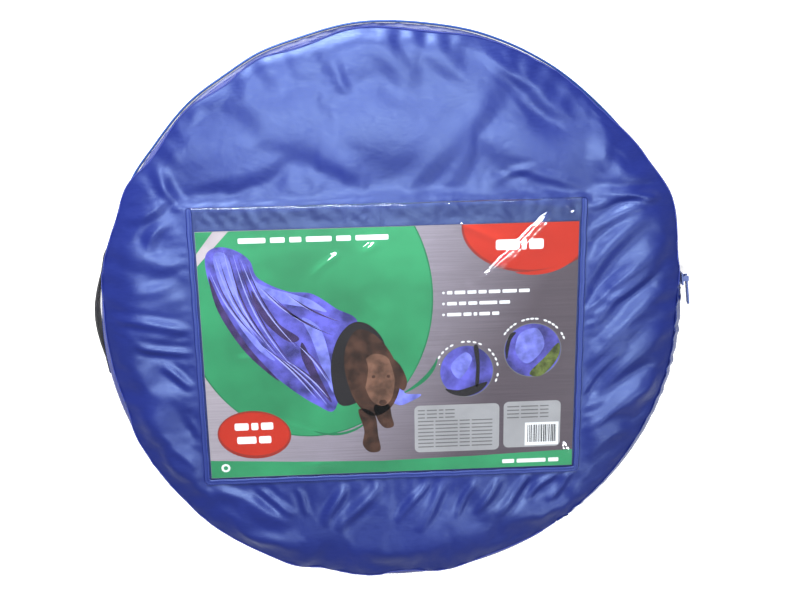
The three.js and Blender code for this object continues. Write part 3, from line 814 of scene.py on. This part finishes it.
def make_guards():
    """A flap of cloth behind each end of the zip, sewn to the wall beyond the slider's reach."""
    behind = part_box("zip_coil_base")[1].x - 6.2 * MM
    for name, end, outward in (("zip_guard_closed", ZIP_FROM, -1), ("zip_guard_open", ZIP_TO, 1)):
        start, finish = sorted((end + outward * 3, end - outward * 6.5))
        flap = band(behind, WALL_TOP_AT_ZIP - 4 * MM, LIP - 1.4 * MM, 5, start, finish, 0.4)
        guard = make_piece(name, flap, "nylon_wall", "bag")
        co = coords(guard.data)
        past = (np.mod(np.degrees(np.arctan2(co[:, 1], co[:, 0])) - end + 180, 360) - 180) * outward
        out = (WALL - 2.2 * MM - behind) * smooth_step(past, 0.9, 2.7) + 0.2 * MM * np.sin(co[:, 2] * 900)
        co[:, 0] *= 1 + out / behind
        co[:, 1] *= 1 + out / behind
        set_coords(guard.data, co)
        thicken(guard, 0.4 * MM)


def make_coils():
    """Each half of the zip is a row of coil turns, and the two rows mesh."""
    pitch = 1.7 * MM
    reach = 0.7 * MM
    rows = (
        ("base_coil", "zip_coil_base", "bag", COIL_BASE[0], ZIP_LEVEL + reach / 2,
         ZIP_FROM - TAPE_PAST, ZIP_TO + TAPE_PAST, 0),
        ("lid_coil", "zip_coil_lid", "lid", ZIP_LEVEL - reach / 2, COIL_LID[1],
         ZIP_FROM + LID_COIL_SHORT, ZIP_TO - LID_COIL_SHORT, 0.5),
    )
    for name, node_name, body, low, high, start, end, offset in rows:
        turn = math.degrees(pitch / WALL)
        first = math.ceil(start / turn)
        last = math.floor(end / turn)
        bm = bmesh.new()
        for i in range(first, last):
            degrees = (i + offset) * turn
            radius = WALL - 0.8 * MM
            turned = Matrix.Rotation(math.radians(degrees), 4, "Z")
            place = turned @ Matrix.Translation((radius, 0, (low + high) / 2))
            lean = Matrix.Rotation(math.radians(9), 4, "X")
            size = Matrix.Diagonal((1.3 * MM, 0.66 * MM, high - low, 1))
            bmesh.ops.create_cone(bm, cap_ends=True, segments=6, radius1=1, radius2=1, depth=1,
                                  matrix=place @ lean @ size)
        make_piece(name, bm, "zip_coil", body, replaces=(node_name,))


def refined(node_name, finish, body, bevel=0.0, levels=0):
    """A copy of a CAD node with its facets merged, and its edges softened or rounded."""
    source = frame["nodes"][node_name]
    bm = bmesh.new()
    bm.from_mesh(source.data)
    bmesh.ops.remove_doubles(bm, verts=bm.verts, dist=1e-6)
    if not levels:
        bmesh.ops.dissolve_limit(bm, angle_limit=math.radians(2), verts=bm.verts, edges=bm.edges)
    else:
        bmesh.ops.join_triangles(bm, faces=bm.faces, angle_face_threshold=0.7, angle_shape_threshold=0.7)
    piece = make_piece(f"{node_name}_finished", bm, finish, body, smooth=True, replaces=(node_name,))
    if bevel:
        soften(piece, bevel)
        harden = piece.modifiers.new("shading", "WEIGHTED_NORMAL")
        harden.keep_sharp = False
    if levels:
        round_off(piece, levels)
    return piece


def make_slider():
    refined("zip_slider", "enamel", "slider", bevel=0.35 * MM)
    refined("zip_pull", "enamel", "pull", bevel=0.35 * MM)
    for name in ("zip_stop_closed", "zip_stop_open"):
        refined(name, "stop_metal", "bag", bevel=0.2 * MM)


# ---- handle ----
def make_handle():
    """The webbing strap, in two halves split at its middle, and the ends."""
    angle = math.atan2(*reversed(((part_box("carry_handle")[0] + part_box("carry_handle")[1]) / 2).xy))
    outward = Vector((math.cos(angle), math.sin(angle), 0))
    tangent = Vector((-outward.y, outward.x, 0))
    source = bmesh.new()
    source.from_mesh(frame["nodes"]["carry_handle"].data)
    bmesh.ops.remove_doubles(source, verts=source.verts, dist=1e-6)
    middle = sum((v.co for v in source.verts), Vector()) / len(source.verts)
    for sign, name in ((1, "handle_strap_upper"), (-1, "handle_strap_lower")):
        half = source.copy()
        bmesh.ops.bisect_plane(half, geom=half.verts[:] + half.edges[:] + half.faces[:], plane_co=middle,
                               plane_no=-sign * tangent, clear_outer=True)
        bmesh.ops.holes_fill(half, edges=half.edges[:])
        bmesh.ops.recalc_face_normals(half, faces=half.faces)
        strap = make_piece(name, half, "webbing", replaces=("carry_handle",), smooth=False)
        follow_edge(strap, wall_share)
        soften(strap, 0.5 * MM)
        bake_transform(strap)
    source.free()
    for name in ("handle_anchor_1", "handle_anchor_2"):
        follow_edge(refined(name, "webbing", "bag", bevel=0.8 * MM), wall_share)
    make_anchor_stitches(outward, tangent)


def make_anchor_stitches(outward, tangent):
    """A sewn box with a cross on each end of the handle."""
    bm = bmesh.new()
    for name in ("handle_anchor_1", "handle_anchor_2"):
        low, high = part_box(name)
        middle = (low + high) / 2
        verts = [v.co for v in frame["nodes"][name].data.vertices]
        away = max((v - middle).dot(outward) for v in verts)
        side = Vector((middle.x, middle.y, 0)).normalized()
        along = Vector((-side.y, side.x, 0))
        face = middle + outward * (away - 1.9 * MM)
        wide, tall = 8 * MM, 9 * MM
        corners = [face + along * a * wide + Vector((0, 0, b * tall)) for a, b in BOX_CORNERS]
        for path in (corners + corners[:1], corners[::2], corners[1::2]):
            stitches(bm, path, *STRAP_STITCH)
    follow_edge(make_piece("handle_stitching", bm, "dark_thread", "bag"), wall_share)


# ---- label pocket ----
def pocket_path(inset, mouth_gap=0.0):
    """The pocket's sewn outline, down its left side, along the bottom and up its right side."""
    left, right = POCKET_LOW.x + inset, POCKET_HIGH.x - inset
    bottom, top = POCKET_LOW.y + inset, POCKET_HIGH.y - mouth_gap
    corners = [Vector((x, y, 0)) for x, y in ((left, top), (left, bottom), (right, bottom), (right, top))]
    path = []
    for a, b in zip(corners, corners[1:]):
        count = round((b - a).length / (6 * MM))
        path += [a.lerp(b, i / count) for i in range(count)]
    return path + [corners[-1]]


def make_binding():
    """Folded cloth binding over the vinyl's edge on three sides, with two rows of stitches."""
    wide = 7 * MM
    path = pocket_path(wide / 2)
    bm = bmesh.new()
    section = [(-1, 0.15), (-0.96, 0.8), (-0.6, 1), (-0.2, 0.86),
               (0.3, 0.9), (0.66, 1), (0.97, 0.75), (1, 0.15)]
    low, tall = FRONT - 0.5 * MM, POCKET_HIGH.z - FRONT + 0.2 * MM
    loops = []
    for i, point in enumerate(path):
        before, after = path[max(i - 1, 0)], path[min(i + 1, len(path) - 1)]
        heading = (after - before).normalized()
        aside = Vector((-heading.y, heading.x, 0))
        corner = 1 / max(0.7, abs((after - point).normalized().dot(heading)) if after != point else 1)
        wave = 0.35 * MM * math.sin(i * 0.9) + 0.25 * MM * math.sin(i * 2.3)
        loops.append([bm.verts.new(point + aside * (s * wide / 2 * corner + wave)
                                   + Vector((0, 0, low + h * tall))) for s, h in section])
    for a, b in zip(loops, loops[1:]):
        edges_a = [bm.edges.get(pair) or bm.edges.new(pair) for pair in zip(a, a[1:] + a[:1])]
        edges_b = [bm.edges.get(pair) or bm.edges.new(pair) for pair in zip(b, b[1:] + b[:1])]
        bmesh.ops.bridge_loops(bm, edges=edges_a + edges_b)
    for loop in (loops[0], loops[-1]):
        bmesh.ops.contextual_create(bm, geom=loop)
    bmesh.ops.recalc_face_normals(bm, faces=bm.faces)
    binding = make_piece("pocket_binding_tape", bm, "binding", "lid",
                         replaces=("pocket_binding",))
    round_off(binding)
    sewn = bmesh.new()
    top = Vector((0, 0, low + tall * 0.98))
    for inset in (1.5 * MM, wide - 1.6 * MM):
        stitches(sewn, pocket_path(inset, 2 * MM), 3.0 * MM, 2.0 * MM, 0.4 * MM, lift=top)
    make_piece("pocket_stitching", sewn, "thread", "lid")


# Creases of the vinyl, in millimetres: start, end, width, height.
VINYL_CREASES = [
    ((96, 52), (176, 130), 3.2, 2.4), ((70, 118), (120, 96), 4, 1.6),
    ((148, 146), (206, 128), 5, 2.0), ((188, -150), (204, -172), 3, 1.6),
    ((60, -4), (40, -60), 5, 1.0), ((-60, 90), (-92, 62), 4, 1.2),
    ((-20, 100), (-34, 86), 4, 1.0), ((-180, -30), (-160, -34), 4, 1.0),
    ((24, -16), (48, -50), 4, 1.2), ((-120, -172), (-60, -164), 4, 1.2),
    ((-40, -170), (10, -184), 4, 1.4), ((60, -168), (86, -182), 4, 1.2),
    ((-130, -112), (-96, -128), 4, 1.0), ((100, 20), (82, 52), 4, 1.4),
    ((-16, 12), (-40, 40), 5, 0.8),
]


def make_window():
    """The vinyl sheet: flat where it is bound, with ripples and a free, wavy top edge."""
    wide, tall = WINDOW_HIGH.x - WINDOW_LOW.x, WINDOW_HIGH.y - WINDOW_LOW.y
    bm = bmesh.new()
    bmesh.ops.create_grid(bm, x_segments=150, y_segments=118, size=0.5)
    for v in bm.verts:
        v.co = Vector((WINDOW_LOW.x + (v.co.x + 0.5) * wide, WINDOW_LOW.y + (v.co.y + 0.5) * tall, 0))
    window = make_piece("pocket_vinyl", bm, "vinyl", "lid", replaces=("pocket_window",))
    co = coords(window.data)
    x, y = co[:, 0], co[:, 1]
    bound = np.minimum(np.minimum(x - WINDOW_LOW.x, WINDOW_HIGH.x - x), y - WINDOW_LOW.y)
    free = smooth_step(bound, 0.004, 0.022)
    near_mouth = smooth_step(y, WINDOW_HIGH.y - 0.03, WINDOW_HIGH.y)
    ripple = crease_height(x / MM, y / MM, VINYL_CREASES)
    ripple += 0.45 * MM * cloudy(co, 17, 9.2) + 0.1 * MM * cloudy(co, 50, 2.4)
    mouth = near_mouth * (0.9 * MM + 0.7 * MM * np.sin(x * 42 + 1) + 0.5 * MM * np.sin(x * 97))
    co[:, 2] = WINDOW_LOW.z + 0.2 * MM + np.maximum(ripple + mouth, -0.1 * MM) * free + 0.5 * MM * free
    set_coords(window.data, co)
    thicken(window, 0.25 * MM)


# ---- printed card ----
INK_DEPTH = 0.012 * MM
INK_STEP = 0.022 * MM  # from one layer of print to the next


def blob(points, smooth=True, steps=6):
    """A closed outline through a few points, in millimetres, rounded between them."""
    if not smooth:
        return [Vector((x, y)) for x, y in points]
    outline = []
    count = len(points)
    for i in range(count):
        p0, p1, p2, p3 = (Vector(points[(i + k - 1) % count]) for k in range(4))
        for s in range(steps):
            t = s / steps
            outline.append(0.5 * (2 * p1 + (p2 - p0) * t + (2 * p0 - 5 * p1 + 4 * p2 - p3) * t * t
                                  + (3 * p1 - p0 - 3 * p2 + p3) * t ** 3))
    return outline


def oval(middle, half_x, half_y, turn=0.0, steps=64, start=0.0, sweep=360.0):
    angles = [math.radians(start + sweep * i / steps) for i in range(steps)]
    c, s = math.cos(math.radians(turn)), math.sin(math.radians(turn))
    return [Vector((middle[0] + half_x * math.cos(a) * c - half_y * math.sin(a) * s,
                    middle[1] + half_x * math.cos(a) * s + half_y * math.sin(a) * c)) for a in angles]


def bar(left, bottom, right, top):
    return [Vector(p) for p in ((left, bottom), (right, bottom), (right, top), (left, top))]


def rounded_box(left, bottom, right, top, radius):
    outline = []
    for x, y, start in ((right, top, 0), (left, top, 90), (left, bottom, 180), (right, bottom, 270)):
        cx = x - radius if x == right else x + radius
        cy = y - radius if y == top else y + radius
        outline += oval((cx, cy), radius, radius, steps=6, start=start, sweep=108)[:6]
    return outline


def arc_stroke(middle, radius_x, radius_y, start, end, thick, steps=24):
    """A swoosh: an arc that swells at its middle and runs to points."""
    outer, inner = [], []
    for i in range(steps + 1):
        t = i / steps
        a = math.radians(start + (end - start) * t)
        half = thick / 2 * math.sin(math.pi * t) ** 0.7 + 0.05
        for side, sign in ((outer, 1), (inner, -1)):
            side.append(Vector((middle[0] + (radius_x + sign * half) * math.cos(a),
                                middle[1] + (radius_y + sign * half) * math.sin(a))))
    return outer + inner[::-1]


def word_bars(left, bottom, height, words, gap=2.2):
    """Plain bars in place of a line of words."""
    bars, x = [], left
    for width in words:
        bars.append(rounded_box(x, bottom, x + width, bottom + height, min(width, height) * 0.22))
        x += width + gap
    return bars


def ink(name, outlines, finish, layer):
    """Shapes printed on the card, clipped to it, a hair above the layer below."""
    bm = bmesh.new()
    for outline in outlines:
        verts = [bm.verts.new((p.x * MM, p.y * MM, 0)) for p in outline]
        face = bm.faces.new(verts)
        if face.normal.z < 0:
            face.normal_flip()
    edge = 0.2 * MM
    for place, normal in (
        ((CARD_LOW.x + edge, 0, 0), (-1, 0, 0)), ((CARD_HIGH.x - edge, 0, 0), (1, 0, 0)),
        ((0, CARD_LOW.y + edge, 0), (0, -1, 0)), ((0, CARD_HIGH.y - edge, 0), (0, 1, 0)),
    ):
        bmesh.ops.bisect_plane(bm, geom=bm.verts[:] + bm.edges[:] + bm.faces[:], plane_co=place,
                               plane_no=normal, clear_outer=True)
    bmesh.ops.triangulate(bm, faces=bm.faces)
    raised = bmesh.ops.extrude_face_region(bm, geom=bm.faces[:], use_keep_orig=True)
    upper = [v for v in raised["geom"] if isinstance(v, bmesh.types.BMVert)]
    bmesh.ops.translate(bm, verts=upper, vec=(0, 0, INK_DEPTH))
    bmesh.ops.recalc_face_normals(bm, faces=bm.faces)
    bmesh.ops.translate(bm, verts=bm.verts, vec=(0, 0, CARD_HIGH.z + INK_STEP * layer))
    return make_piece(f"card_print_{name}", bm, finish, "card", smooth=False)


def make_card():
    card = frame["nodes"]["label_card"]
    card.data.materials.clear()
    card.data.materials.append(FINISH["card"])
    green = print_finish("ink_green", (0.036, 0.285, 0.120), 0.22, scale=9.0)
    dark_green = print_finish("ink_dark_green", (0.020, 0.20, 0.085), 0.15)
    red = print_finish("ink_red", (0.54, 0.032, 0.014), 0.12, scale=9.0)
    dark_red = print_finish("ink_dark_red", (0.30, 0.03, 0.02), 0.12)
    white = print_finish("ink_white", (0.88, 0.88, 0.88), 0.05)
    grey = print_finish("ink_grey", (0.38, 0.375, 0.38), 0.08)
    dark_grey = print_finish("ink_dark_grey", (0.17, 0.165, 0.17), 0.1)
    black = print_finish("ink_black", (0.018, 0.016, 0.018), 0.2)
    blue = print_finish("ink_blue", (0.100, 0.095, 0.42), 0.55, scale=46.0)
    light_blue = print_finish("ink_light_blue", (0.20, 0.22, 0.68), 0.35, scale=60.0)
    purple = print_finish("ink_purple", (0.050, 0.030, 0.115), 0.5, scale=50.0)
    brown = print_finish("ink_brown", (0.062, 0.028, 0.018), 0.55, scale=70.0)
    tan = print_finish("ink_tan", (0.17, 0.085, 0.055), 0.45, scale=70.0)
    grass = print_finish("ink_grass", (0.10, 0.13, 0.030), 0.6, scale=160.0)

    disc = ((-97, 33), 138, 163)
    ink("disc_edge", [oval(disc[0], disc[1] + 1.6, disc[2] + 1.6, steps=128)], dark_green, 1)
    ink("disc", [oval(*disc, steps=128)], green, 3)
    ink("foot_band", [blob([(-217, -158), (-120, -163), (-20, -166), (90, -164), (205, -160),
                            (205, -182), (-217, -182)], smooth=False)], green, 2)
    ink("swooshes", [
        arc_stroke((-60, -30), 108, 66, -52, -8, 5), arc_stroke((-72, -86), 50, 44, -120, -34, 3),
    ], dark_green, 5)
    silver = print_finish("ink_silver", (0.50, 0.44, 0.46), 0.08)
    ink("silver_band", [blob([(-217, 76), (-217, 90), (-196, 117), (-179, 117)], smooth=False)], silver, 4)
    ink("red_ovals", [oval((150, 114), 74, 52, -3), oval((-164, -126), 40, 27, -4),
                      arc_stroke((150, 104), 66, 46, -104, -40, 5)], red, 7)
    ink("red_edges", [oval((-164, -127), 42, 30, -4), oval((150, 112), 76, 53, -3)], dark_red, 6)
    make_tunnel_picture(light_blue, blue, purple, black, brown, tan)
    ink("insets_edge", [oval((80, -57), 31, 32), oval((155, -34), 33, 33)], dark_grey, 2)
    ink("insets", [oval((80, -57), 30, 31), oval((155, -34), 32, 32)], blue, 3)
    ink("inset_light", [blob([(62, -50), (78, -34), (86, -44), (72, -66)]),
                        blob([(140, -14), (160, -8), (168, -30), (150, -50), (136, -36)])], light_blue, 4)
    ink("inset_dark", [blob([(88, -28), (93, -27), (95, -50), (94, -74), (90, -74), (91, -50)]),
                       blob([(56, -78), (72, -80), (98, -72), (104, -72), (96, -82), (80, -88), (64, -85)]),
                       blob([(126, -44), (130, -22), (136, -12), (129, -14), (124, -30)])], black, 5)
    ink("inset_grass", [blob([(152, -62), (170, -42), (184, -26), (186, -38), (178, -54), (164, -66)])],
        grass, 5)
    ink("headline", word_bars(-170, 102, 6, (30, 16, 13, 28, 16, 36), 5), white, 4)
    ink("oval_marks", word_bars(112, 86, 12, (26, 5, 16), 3) + word_bars(-186, -121, 9, (16, 8, 14), 3)
        + word_bars(-184, -138, 9, (22, 14), 3), white, 8)
    bullets = []
    for level, words in (
        (36, (6, 12, 10, 9, 13, 16, 12)), (23, (11, 8, 10, 20, 12)), (10, (16, 9, 4, 12, 8)),
    ):
        bullets += [oval((54, level + 2), 1.5, 1.5, steps=12)] + word_bars(58, level, 4, words, 2.4)
    ink("bullets", bullets, white, 3)
    arched = []
    for middle, radius, start, end in (((80, -57), 36, 150, -20), ((155, -34), 38, 146, 22)):
        for k in range(17):
            angle = start + (end - start) * k / 16
            turn = math.radians(angle)
            if k % 5 != 4:
                spot = Vector(middle) + radius * Vector((math.cos(turn), math.sin(turn)))
                arched.append(oval(spot, 2.4, 1.2, angle - 90, steps=8))
    ink("arched_captions", arched, white, 3)
    ink("info_boxes", [rounded_box(20, -157, 118, -98, 6), rounded_box(123, -155, 189, -97, 6)], grey, 2)
    lines = []
    for k in range(11):
        width = 40 if k < 3 else 88
        lines += word_bars(24, -105 - 4.6 * k, 1.5, [w * width / 88 for w in (18, 26, 12, 24)], 2)
    for k in range(4):
        lines += word_bars(127, -104 - 4.6 * k, 1.5, (14, 20, 10), 2)
    ink("small_print", lines, dark_grey, 3)
    ink("barcode_ground", [bar(148, -153, 187, -124)], white, 3)
    random.seed(11)
    stripes, x = [], 151.0
    while x < 184:
        thick = random.choice((0.5, 0.8, 1.3))
        stripes.append(bar(x, -149, x + thick, -127))
        x += thick + random.choice((0.6, 0.9, 1.2))
    ink("barcode", stripes, black, 4)
    ink("foot_marks", [oval((-199, -168), 5.2, 5.2, steps=24)]
        + word_bars(122, -175, 5, (14, 34, 12), 3), white, 3)
    ink("foot_mark_hole", [oval((-199, -168), 2.6, 2.6, steps=16)], green, 4)


def streak(start, end, bow, thick, steps=10):
    """A thin stroke between two points, bowed to one side and pointed at its ends."""
    a, b = Vector(start), Vector(end)
    aside = Vector((a.y - b.y, b.x - a.x)).normalized()
    left, right = [], []
    for i in range(steps + 1):
        t = i / steps
        middle = a.lerp(b, t) + aside * bow * math.sin(math.pi * t)
        half = thick / 2 * math.sin(math.pi * t) + 0.08
        left.append(middle + aside * half)
        right.append(middle - aside * half)
    return left + right[::-1]


def make_tunnel_picture(light_blue, blue, purple, black, brown, tan):
    """A plain drawing of a cloth tunnel in use, with a dog walking out of its mouth."""
    ink("tunnel_body", [blob([
        (-207, 80), (-203, 94), (-190, 99), (-172, 94), (-158, 82), (-150, 62), (-120, 46), (-92, 42),
        (-66, 24), (-42, 6), (-60, -40), (-70, -98), (-92, -92), (-126, -66), (-160, -30), (-186, 10),
        (-202, 50),
    ])], blue, 5)
    ink("tunnel_light", [
        blob([(-198, 84), (-186, 92), (-178, 72), (-170, 30),
              (-156, -8), (-136, -36), (-156, -20), (-182, 24)]),
        blob([(-160, 78), (-150, 56), (-112, 42), (-92, 34), (-76, 20), (-98, 26), (-134, 34), (-150, 44)]),
        blob([(-104, 14), (-84, 0), (-74, -40), (-72, -78), (-84, -46), (-94, -12)]),
        blob([(-12, -84), (6, -72), (10, -82), (28, -84), (16, -92), (2, -96)]),
    ], light_blue, 6)
    ink("tunnel_shade", [
        blob([(-158, 48), (-146, 26), (-128, 6), (-108, -10), (-120, -14), (-142, 6), (-154, 28)]),
        blob([(-104, -16), (-86, -60), (-74, -90), (-92, -66), (-106, -34)]),
        blob([(-204, 66), (-190, 28), (-164, -20), (-132, -62), (-168, -26), (-196, 24)]),
    ], purple, 7)
    folds = [
        ((-202, 70), (-160, -6), -5, 1.6), ((-196, 88), (-148, -14), -8, 1.4),
        ((-186, 94), (-134, -30), -10, 1.8), ((-176, 90), (-118, -44), -9, 1.5),
        ((-168, 84), (-112, -20), -7, 1.4), ((-150, 52), (-88, 2), -5, 1.6),
        ((-140, 44), (-74, -6), -6, 1.4), ((-120, 42), (-66, 10), -3, 1.8),
        ((-152, -16), (-92, -84), 3, 1.6), ((-140, -26), (-80, -92), 4, 1.4),
        ((-124, -36), (-78, -84), 3, 1.8), ((-108, -20), (-78, -64), 2, 1.4),
    ]
    pale_blue = print_finish("ink_pale_blue", (0.36, 0.38, 0.80), 0.2)
    ink("tunnel_streaks", [streak(*fold) for fold in folds], pale_blue, 8)
    creases = [streak((a[0] + 5, a[1] - 3), (b[0] + 4, b[1] - 2), bow, thick) for a, b, bow, thick in folds]
    ink("tunnel_creases", creases, purple, 9)
    mouth = [(-48, 6), (-66, -14), (-74, -50), (-66, -92), (-40, -88), (-14, -60), (-12, -22), (-28, 2)]
    ink("tunnel_mouth", [blob(mouth)], black, 10)
    ink("dog_body", [
        blob([(-42, -2), (-56, -22), (-58, -52), (-48, -88), (-30, -108),
              (-8, -100), (4, -72), (-2, -40), (-20, -12)]),
        blob([(-44, -100), (-38, -126), (-40, -144), (-32, -154), (-20, -152), (-22, -134), (-26, -106)]),
        blob([(-26, -96), (-22, -114), (-14, -124), (-4, -122), (-6, -110), (-10, -94)]),
    ], brown, 11)
    ink("dog_head", [
        blob([(-30, -34), (-40, -52), (-36, -72), (-28, -90), (-16, -96),
              (-6, -88), (-2, -66), (-4, -46), (-14, -34)]),
    ], tan, 12)
    ink("dog_ears", [
        blob([(-36, -38), (-46, -54), (-48, -78), (-40, -84), (-34, -66), (-32, -48)]),
        blob([(-8, -36), (4, -46), (12, -66), (8, -78), (0, -70), (-4, -52)]),
        oval((-16, -92), 4.5, 3.4, steps=20), oval((-26, -60), 2.2, 2.0, steps=14),
        oval((-9, -60), 2.2, 2.0, steps=14),
    ], brown, 13)


# ---- packed tunnel ----
def make_pack():
    """The tunnel's cloth, gathered into twisted folds between its hoops."""
    low, high = PACK_LOW, PACK_HIGH
    rim = high.x
    top, bottom = high.z, low.z
    rows = 26
    profile = [(0, bottom), (rim - 0.012, bottom)]
    pleats = 5
    for i in range(pleats * 6 + 1):
        t = i / (pleats * 6)
        level = bottom + 8.5 * MM + (top - bottom - 8.5 * MM) * t
        profile.append((rim - 2.2 * MM - 2.0 * MM * math.cos(t * math.tau * pleats), level))
    profile += [((rim - 6 * MM) * (1 - (i + 1) / rows) ** 0.9, top) for i in range(rows)]
    bm = ring(profile, 300, closed=False)
    pack = make_piece("tunnel_folds", bm, "nylon_inside", replaces=("tunnel_cloth",))
    co = coords(pack.data)
    radius = np.hypot(co[:, 0], co[:, 1])
    turn = np.arctan2(co[:, 1], co[:, 0]) + 2.2 * radius
    upper = co[:, 2] > top - 0.5 * MM
    gathers = np.abs(np.sin(turn * 19 + 1.5 * np.sin(turn * 5 + 12 * radius))) ** 0.7
    fine = np.sin(turn * 43 + 3 * np.sin(turn * 7))
    sag = smooth_step(radius, 0.0, 0.16) * (1 - smooth_step(radius, rim - 0.05, rim - 0.01))
    lift = -5.5 * MM * gathers * sag - MM * (fine + 1) * sag
    lift -= 3 * MM * (1 - smooth_step(radius, 0, 0.12))
    co[:, 2] += np.where(upper, lift, 0)
    side = ~upper & (radius > rim - 0.008)
    squirm = 1.2 * MM * np.sin(turn * 31 + co[:, 2] * 500) * side
    co[:, 2] += squirm * 0.5 * smooth_step(co[:, 2], bottom + 9 * MM, bottom + 12 * MM)
    shrink = 1 - np.where(side, 0.8 * MM * (1 + np.sin(turn * 57)), 0) / np.maximum(radius, 0.01)
    co[:, 0] *= shrink
    co[:, 1] *= shrink
    set_coords(pack.data, co)
    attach(pack, "bag")
    for name in ("entrance", "exit"):
        low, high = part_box(f"{name}_hoop_sleeve")
        thick = high.z - low.z
        level = (low.z + high.z) / 2
        middle = high.x - thick / 2
        sleeve = make_piece(f"{name}_sleeve_cloth", ring(round_profile(middle, level, thick, 14), 420),
                            "nylon_inside", replaces=(f"{name}_hoop_sleeve",))
        shape_sleeve(sleeve, middle, level)
        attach(sleeve, "bag")
        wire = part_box(f"{name}_hoop")[1].x - middle
        make_piece(f"{name}_hoop_wire", ring(round_profile(middle, level, 2 * wire, 10), 240),
                   "steel", "bag", replaces=(f"{name}_hoop",))


def shape_sleeve(sleeve, radius, level):
    """Gathers the sleeve into small puckers round its hoop."""
    co = coords(sleeve.data)
    turn = np.arctan2(co[:, 1], co[:, 0])
    pucker = 0.90 + 0.09 * np.sin(turn * 130 + 2 * np.sin(turn * 11))
    middle = np.stack([np.cos(turn) * radius, np.sin(turn) * radius, np.full(len(turn), level)], 1)
    set_coords(sleeve.data, middle + (co - middle) * pucker[:, None])


def make_straps():
    """Four webbing straps for the pegs, each with a sewn loop at its end."""
    for i in range(1, 5):
        name = f"peg_strap_{i}"
        low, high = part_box(name)
        middle = (low + high) / 2
        outward = Vector((middle.x, middle.y, 0)).normalized()
        aside = Vector((-outward.y, outward.x, 0))
        length, wide, thick = 88 * MM, 19 * MM, 1.3 * MM
        bm = bmesh.new()
        bmesh.ops.create_cube(bm, size=1)
        long_edges = [e for e in bm.edges if abs((e.verts[0].co - e.verts[1].co).x) > 0.5]
        bmesh.ops.subdivide_edges(bm, edges=long_edges, cuts=14, use_grid_fill=True)
        for v in bm.verts:
            wave = 0.5 * MM * math.sin(v.co.x * 9 + i) - 0.3 * MM
            place = middle + outward * v.co.x * length + aside * v.co.y * wide
            v.co = Vector((place.x, place.y, high.z - thick / 2 - 0.3 * MM + v.co.z * thick + wave))
        bmesh.ops.recalc_face_normals(bm, faces=bm.faces)
        strap = make_piece(f"{name}_webbing", bm, "webbing", "bag", smooth=False, replaces=(name,))
        soften(strap, 0.4 * MM)
        sewn = bmesh.new()
        inner = middle - outward * (length / 2 - 14 * MM)
        inner.z = high.z + 0.2 * MM
        corners = [inner + outward * a * 9 * MM + aside * b * 7 * MM for a, b in BOX_CORNERS]
        stitches(sewn, corners + corners[:1], *STRAP_STITCH)
        make_piece(f"{name}_stitching", sewn, "dark_thread", "bag")


def make_pegs():
    for i in range(1, 5):
        refined(f"ground_peg_{i}", "steel", "bag", levels=1)
    low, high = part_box("peg_pouch")
    wide, tall = high.x - low.x, high.y - low.y
    bm = bmesh.new()
    bmesh.ops.create_grid(bm, x_segments=60, y_segments=70, size=0.5)
    for v in bm.verts:
        v.co = Vector((low.x + (v.co.x + 0.5) * wide, low.y + (v.co.y + 0.5) * tall, 0))
    lower = bm.copy()
    top = make_piece("pouch_front", bm, "nylon_wall", "bag", replaces=("peg_pouch",))
    co = coords(top.data)
    x, y = co[:, 0], co[:, 1]
    sides = np.minimum(x - low.x, high.x - x)
    edge = smooth_step(np.minimum(sides, y - low.y), 0.0, 0.016)
    pegs = np.zeros(len(x))
    for i in range(1, 5):
        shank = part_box(f"ground_peg_{i}")[0].x + 2.5 * MM
        pegs = np.maximum(pegs, np.exp(-np.square((x - shank) / 0.009)))
    co[:, 2] = low.z + 0.8 * MM + (5.4 * MM + 2.2 * MM * pegs) * edge + 0.5 * MM * cloudy(co, 60, 4.0) * edge
    set_coords(top.data, co)
    thicken(top, 0.5 * MM)
    bottom = make_piece("pouch_back", lower, "nylon_wall", "bag")
    co = coords(bottom.data)
    co[:, 2] = low.z + 0.3 * MM
    set_coords(bottom.data, co)
    thicken(bottom, 0.4 * MM)
    sewn = bmesh.new()
    inset, level = 4 * MM, low.z + 2.2 * MM
    outline = [(low.x + inset, high.y), (low.x + inset, low.y + inset),
               (high.x - inset, low.y + inset), (high.x - inset, high.y)]
    stitches(sewn, [Vector((x, y, level)) for x, y in outline])
    make_piece("pouch_stitching", sewn, "thread", "bag")


put_camera()
put_stage()
make_front()
make_wall()
make_back()
make_piping()
make_tapes()
make_guards()
make_coils()
make_slider()
make_handle()
make_binding()
make_window()
make_card()
make_pack()
make_straps()
make_pegs()
